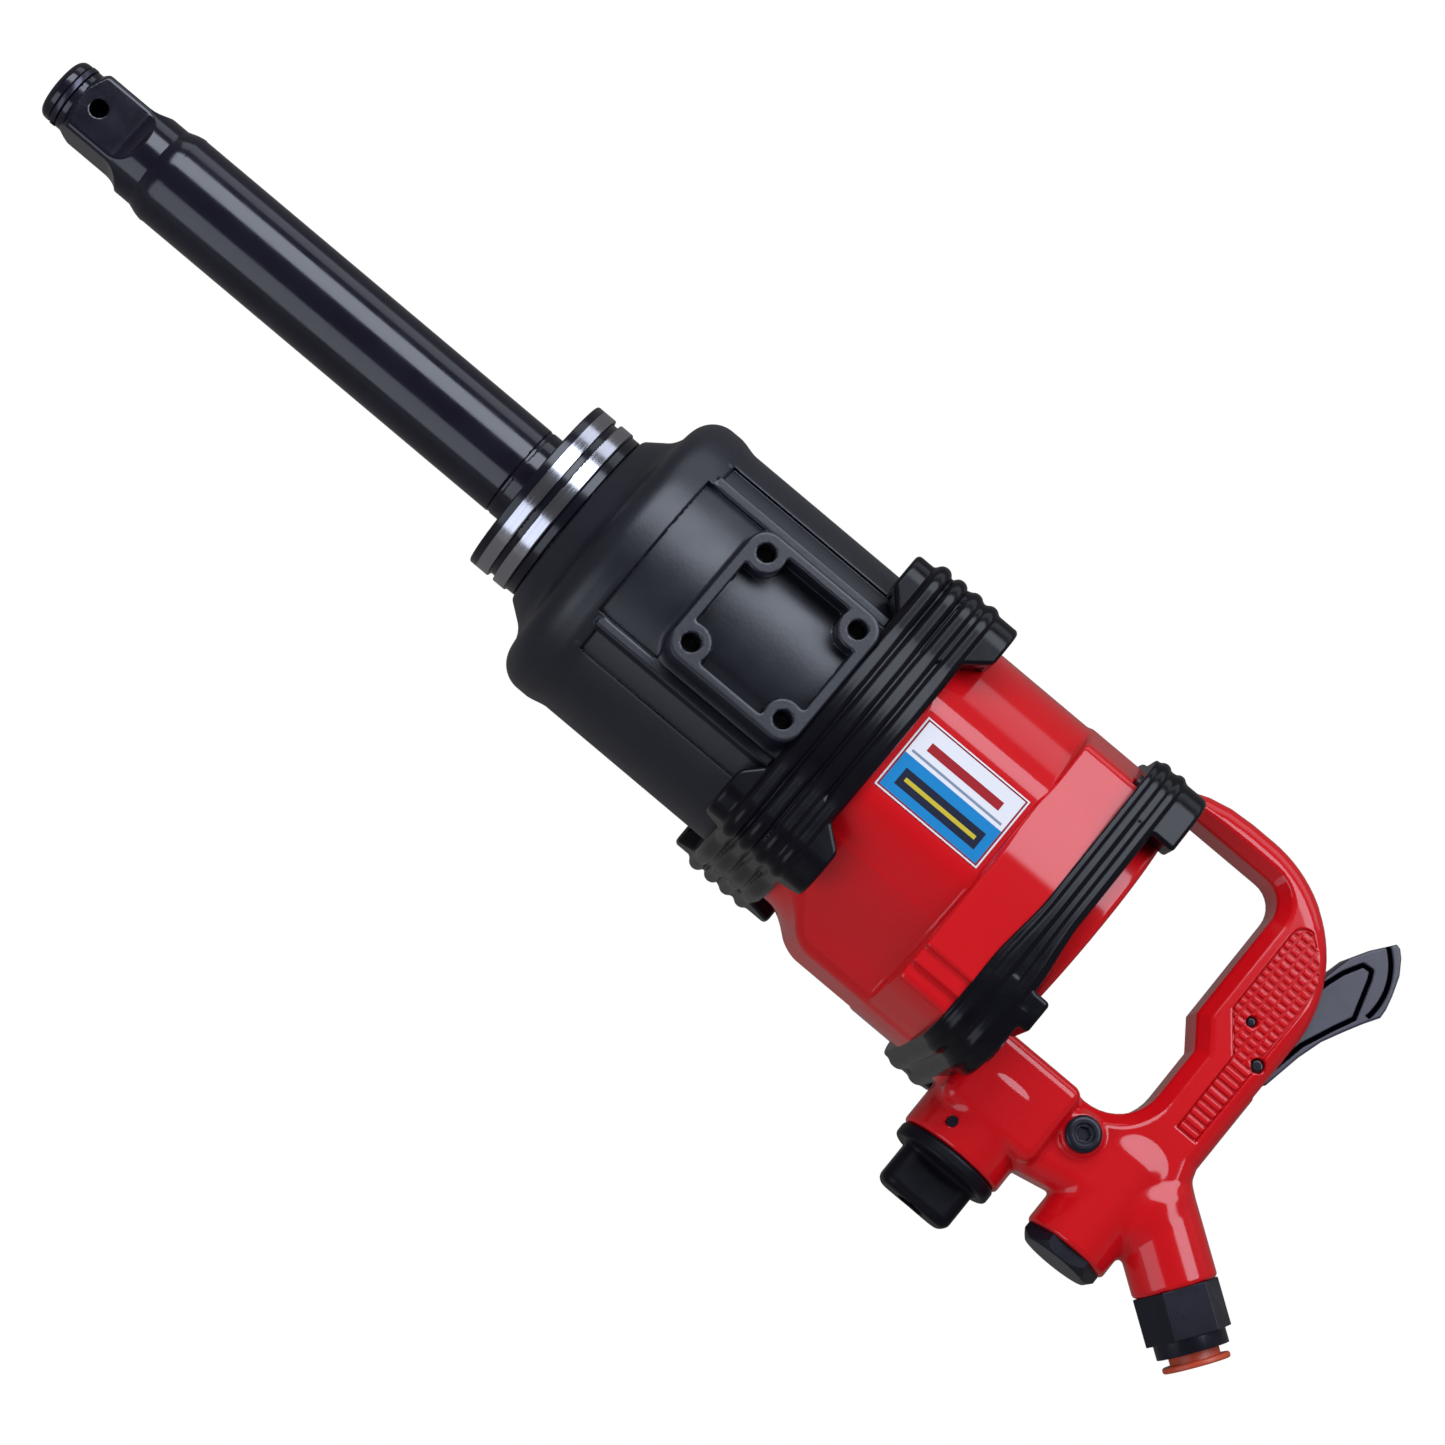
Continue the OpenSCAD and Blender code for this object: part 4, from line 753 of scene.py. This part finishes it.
def oil_plug(x, y, z):
    rad = off(x, y, OIL_PLUG)
    d = join(meet(rad - 7, slab(z, 17, 20.2), 1.9), rod(rad, z, 4, 9, 18), 0.3)
    d = cut(d, np.maximum(rad - 3.8, 19.2 - z), 0.4)
    dx, dy = np.abs(x - OIL_PLUG[0]), np.abs(y - OIL_PLUG[1])
    hexagon = np.maximum(dx, 0.5 * dx + 0.866 * dy) - 2.4
    return cut(d, np.maximum(hexagon, 17.4 - z), 0.2)


# ---- lever and knob ----

LEVER = [
    (530.8, 0), (549.5, 0), (553, 2.4), (556, 18), (559, 28), (563, 36), (567, 43.5),
    (570.5, 49.2), (570.3, 53), (569, 58.5), (566.5, 66), (563, 71.5), (560.5, 74), (558.5, 74.5),
    (552, 66), (548, 59), (546.4, 52.7), (543.5, 40), (541.5, 26), (541.5, 16),
    (539.5, 13.6), (530.8, 12.3)
]
LEAF = [
    (546.5, 42), (547.6, 46.2), (549.9, 52.9), (553.7, 59.8), (557, 60.1), (558.4, 57), (562.6, 42.5),
    (558.9, 34.7), (553.6, 22.3), (551, 10), (546, 12)
]


def throttle_lever(x, y, z):
    """Flat lever with a groove around a leaf shape and another along its tip."""
    side = outline(x, y, LEVER)
    d = meet(side, np.abs(z) - 8, 1.0)
    depth = LEVER_FLOOR - np.abs(z)
    rim = np.maximum(np.abs(np.hypot(x - 541.4, y - 50.9) - 25.6) - 0.95, 46 - y)
    leaf = np.abs(outline(x, y, LEAF) - 0.4) - 0.9
    d = cut(d, np.maximum(np.minimum(rim, leaf), depth), 0.3)
    return cut(d, off(x, y, LEVER_PIN) - 2.55, 0.2)


def regulator_knob(x, y, z):
    """Disc with a broad grip bar."""
    dx = x - REGULATOR_X
    d = rod(np.hypot(dx, z), y, 20.5, -97.5, -91.7, 1.6)
    grip = meet(box2(dx, z, 15.35, 8.5, 6), -114.5 - y, 3.5)
    d = join(d, np.maximum(grip, y + 92), 2.0)
    d = cut(d, np.hypot(dx, z) - 3.05, 0.3)
    return cut(d, np.maximum(np.hypot(dx, z) - 5.5, y + 105), 0.4)


# ---- anvil and nose ----

def anvil(x, y, z):
    """Nose, milled square, shaft, jaws and tail, with the cross hole."""
    rad = np.hypot(y, z)
    nose = rod(rad, x, 12.65, -18.3, 0, 3.2)
    bar = meet(rad - 17, slab(x, -9, 29), 0.8)
    bar = meet(bar, 0.6 * (rad - 17) - 0.8 * (x + 5), 0.8)
    cone = meet(0.94 * (rad - 17) - 0.34 * (x - 28.5), slab(x, 26, 36))
    shaft = meet(rad - 19, slab(x, 34, 247.3), 0.0)
    shaft = meet(join(shaft, cone), rad - 19, 1.0)
    d = join(join(nose, bar), shaft)
    face = np.maximum(np.abs(y), np.abs(z)) - 12.7
    relief = np.maximum(-face, np.where(x < 13, -99, np.hypot(x - 13, face - 10.2) - 10.2))
    d = cut(d, np.maximum(relief, x - 23.3), 0.5)
    d = cut(d, np.maximum(slab(x, -13.5, -10.6), 9.8 - rad), 0.2)
    d = cut(d, np.maximum(slab(x, 200.4, 201.9), 18.4 - rad), 0.2)
    jaws = meet(rad - 23.5, slab(x, 247.3, 260), 0.3)
    core = meet(rad - 17.5, slab(x, 259, 322.5), 0.3)
    tail = meet(rad - 12, slab(x, 322, 333), 0.4)
    d = np.minimum(np.minimum(d, jaws), np.minimum(core, tail))
    for x0, x1, side in ((263, 288.4, 1), (294.2, 319.6, -1)):
        tooth = np.maximum(np.maximum(rad - 23.5, np.abs(z) - 8), np.maximum(slab(x, x0, x1), -side * y))
        d = np.minimum(d, tooth)
    return cut(d, np.hypot(x, y) - 3.3, 0.5)


def nose_sleeve(x, y, z):
    """Stepped ring in the front of the hammer case."""
    rad = np.hypot(y, z)
    d = meet(rad - 36.7, slab(x, 207.6, 224.4), 0.8)
    d = join(d, meet(rad - 35.9, slab(x, 215, 228), 0.3))
    d = join(d, meet(rad - 34, slab(x, 220, 246), 0.3))
    d = cut(d, np.maximum(slab(x, 216, 218.6), 35.1 - rad), 0.25)
    d = cut(d, rad - 24.05, 0.3)
    return cut(d, np.maximum(rad - 30, x - 212), 0.3)


CASTINGS = [
    ("anvil_forging", anvil, "anvil", "anvil_body", "black_oxide_steel", 0.6),
    ("nose_turning", nose_sleeve, "nose_sleeve", "housing", "polished_steel", 0.5),
    ("case_casting", hammer_case, "hammer_case", "housing", "case_alloy", 0.85),
    ("housing_casting", motor_housing, "motor_housing", "housing", "red_enamel", 0.85),
    ("front_guard_moulding", front_guard, "front_guard", "housing", "guard_rubber", 0.75),
    ("rear_guard_moulding", rear_guard, "rear_guard", "housing", "guard_rubber", 0.8),
    ("backhead_casting", backhead, "backhead", "housing", "red_enamel", 0.75),
    ("lever_casting", throttle_lever, "throttle_lever", "lever_body", "lever_paint", 0.45),
    ("knob_moulding", regulator_knob, "regulator_knob", "regulator_body", "black_plastic", 0.6),
    ("oil_plug_turning", oil_plug, "oil_plug", "housing", "black_steel", 0.3),
    ("lever_pin_bar", lever_pin, "lever_pin", "housing", "black_oxide_steel", 0.35),
    ("stop_pin_bar", lever_stop_pin, "lever_stop_pin", "housing", "black_oxide_steel", 0.3),
]
for name, field, node, body, slot, step in CASTINGS:
    cast(name, field, node, body, NOSE_STEEL if node == "nose_sleeve" else MATERIALS[slot], step)
for name, field, near, far in (
    ("grip_panel_front", front_panel, 12, 15),
    ("grip_panel_back", back_panel, -15, -12),
):
    cast(name, field, None, "housing", MATERIALS["red_enamel"], 0.4,
         ((524, -33, near), (548, 57, far)))


# The throttle spring, on its own copy of the CAD mesh, in polished steel
spring = bpy.data.objects.new("throttle_spring_coil", nodes["throttle_spring"].data.copy())
bpy.context.scene.collection.objects.link(spring)
spring.data.materials.clear()
spring.data.materials.append(MATERIALS["polished_steel"])
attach(spring, "housing")
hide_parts("throttle_spring")
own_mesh(spring)


# ---- finishes of the CAD nodes ----

replaced = {node for _, _, node, *_ in CASTINGS} | {"throttle_spring"}
# Width of the broken edges of the nodes that show, in millimetres
EDGES = {
    "socket_retaining_ring": 0.25, "name_plate": 0.2, "case_bolts": 0.4,
    "case_nuts": 0.4, "backhead_bolts": 0.4, "valve_cap": 0.8,
    "inlet_bushing": 0.6, "dust_plug": 0.5, "regulator_screw": 0.3, "regulator_pin": 0.3,
}
for part in frame["record"]["subparts"]:
    node, material = part["node"], part["material_slot"]
    if node in replaced:
        continue
    obj = nodes[node]
    obj.data.materials.clear()
    obj.data.materials.append(RING_STEEL if node == "socket_retaining_ring" else MATERIALS[material])
    if node in EDGES:
        weld = obj.modifiers.new("weld", "WELD")
        weld.merge_threshold = 0.01 * MM
        bevel = obj.modifiers.new("bevel", "BEVEL")
        bevel.width, bevel.segments, bevel.angle_limit = EDGES[node] * MM, 2, math.radians(35)
        bevel.harden_normals = True


# ---- stage, lights and camera ----

# What the camera and the lights aim at, and the camera's tilt off +Z, turn about its own axis and distance
MIDDLE = Vector((0.3165, -0.0221, -0.0043))
TILT, TURN, REACH = math.radians(11), math.radians(40.06), 1.645
FLOOR_HALF, FLOOR_GAP = 9, 0.0002
COOL_WHITE = (0.8, 0.87, 1.0)


def paper(name, seen, felt):
    """White paper: one strength as the camera sees it and another in reflections and as light."""
    mat = bpy.data.materials.new(name)
    mat.use_nodes = True
    tree = mat.node_tree
    tree.nodes.clear()
    rays = tree.nodes.new("ShaderNodeLightPath")
    glow = tree.nodes.new("ShaderNodeEmission")
    level = tree.nodes.new("ShaderNodeMapRange")
    level.inputs["To Min"].default_value, level.inputs["To Max"].default_value = felt, seen
    tree.links.new(rays.outputs["Is Camera Ray"], level.inputs["Value"])
    tree.links.new(level.outputs["Result"], glow.inputs["Strength"])
    tree.links.new(glow.outputs["Emission"], tree.nodes.new("ShaderNodeOutputMaterial").inputs["Surface"])
    return mat


floor_points = FLOOR_HALF * np.array([(-1, -1, 0), (1, -1, 0), (1, 1, 0), (-1, 1, 0)]) / MM
lowest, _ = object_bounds()
floor = build_mesh("floor", floor_points, np.array([[0, 1, 2, 3]]))
floor.location.z = lowest.z - FLOOR_GAP
floor.data.materials.append(paper("white paper", 1.0, 0.15))

world = bpy.data.worlds.new("studio")
bpy.context.scene.world = world
world.use_nodes = True
sky = world.node_tree
facing = sky.nodes.new("ShaderNodeSeparateXYZ")
level = sky.nodes.new("ShaderNodeMapRange")
level.inputs["From Min"].default_value, level.inputs["From Max"].default_value = 0.05, 0.7
level.inputs["To Min"].default_value, level.inputs["To Max"].default_value = 0.22, 0.07
sky.links.new(sky.nodes.new("ShaderNodeTexCoord").outputs["Generated"], facing.inputs[0])
sky.links.new(facing.outputs["Z"], level.inputs["Value"])
sky.links.new(level.outputs["Result"], sky.nodes["Background"].inputs["Strength"])
sky.nodes["Background"].inputs["Color"].default_value = (1, 1, 1, 1)

def strip_box(name, angle, spread, radiance, length=2.6, away=1.5, shift=0.0):
    """Long softbox along the spindle, at an angle from +Z towards +Y, spanning an angle of its own."""
    wide = 2 * away * math.tan(math.radians(spread / 2))
    turn = math.radians(angle)
    data = bpy.data.lights.new(name, "AREA")
    data.shape, data.size, data.size_y = "RECTANGLE", length, wide
    data.energy, data.color = radiance * math.pi * length * wide, COOL_WHITE
    lamp = bpy.data.objects.new(name, data)
    bpy.context.scene.collection.objects.link(lamp)
    lamp.location = MIDDLE + Vector((shift, away * math.sin(turn), away * math.cos(turn)))
    along, outward = Vector((1, 0, 0)), Vector((0, math.sin(turn), math.cos(turn)))
    lamp.rotation_mode = "QUATERNION"
    lamp.rotation_quaternion = Matrix((along, outward.cross(along), outward)).transposed().to_quaternion()
    return lamp


strip_box("upper box", 34.5, 34, 4.9)
strip_box("side box", 96, 56, 1.1)
fill = strip_box("lower fill", -62, 56, 1.0)
fill.visible_glossy = False
strip_box("lower box", -53, 40, 1.6, length=1.1, shift=-0.62)
strip_box("lower core", -53, 22, 2.8, length=0.9, shift=-0.66)

camera_data = bpy.data.cameras.new("camera")
camera = bpy.data.objects.new("camera", camera_data)
bpy.context.scene.collection.objects.link(camera)
bpy.context.scene.camera = camera
camera_data.sensor_width, camera_data.lens = 36, 112.1
camera_data.clip_start, camera_data.clip_end = 0.05, 20
back = Vector((0, -math.sin(TILT), math.cos(TILT)))
level_up = Vector((0, math.cos(TILT), math.sin(TILT)))
right = math.cos(TURN) * Vector((1, 0, 0)) + math.sin(TURN) * level_up
up = -math.sin(TURN) * Vector((1, 0, 0)) + math.cos(TURN) * level_up
camera.matrix_world = Matrix((right, up, back)).transposed().to_4x4()
camera.location = MIDDLE + back * REACH
bpy.context.scene.view_settings.view_transform = "Standard"
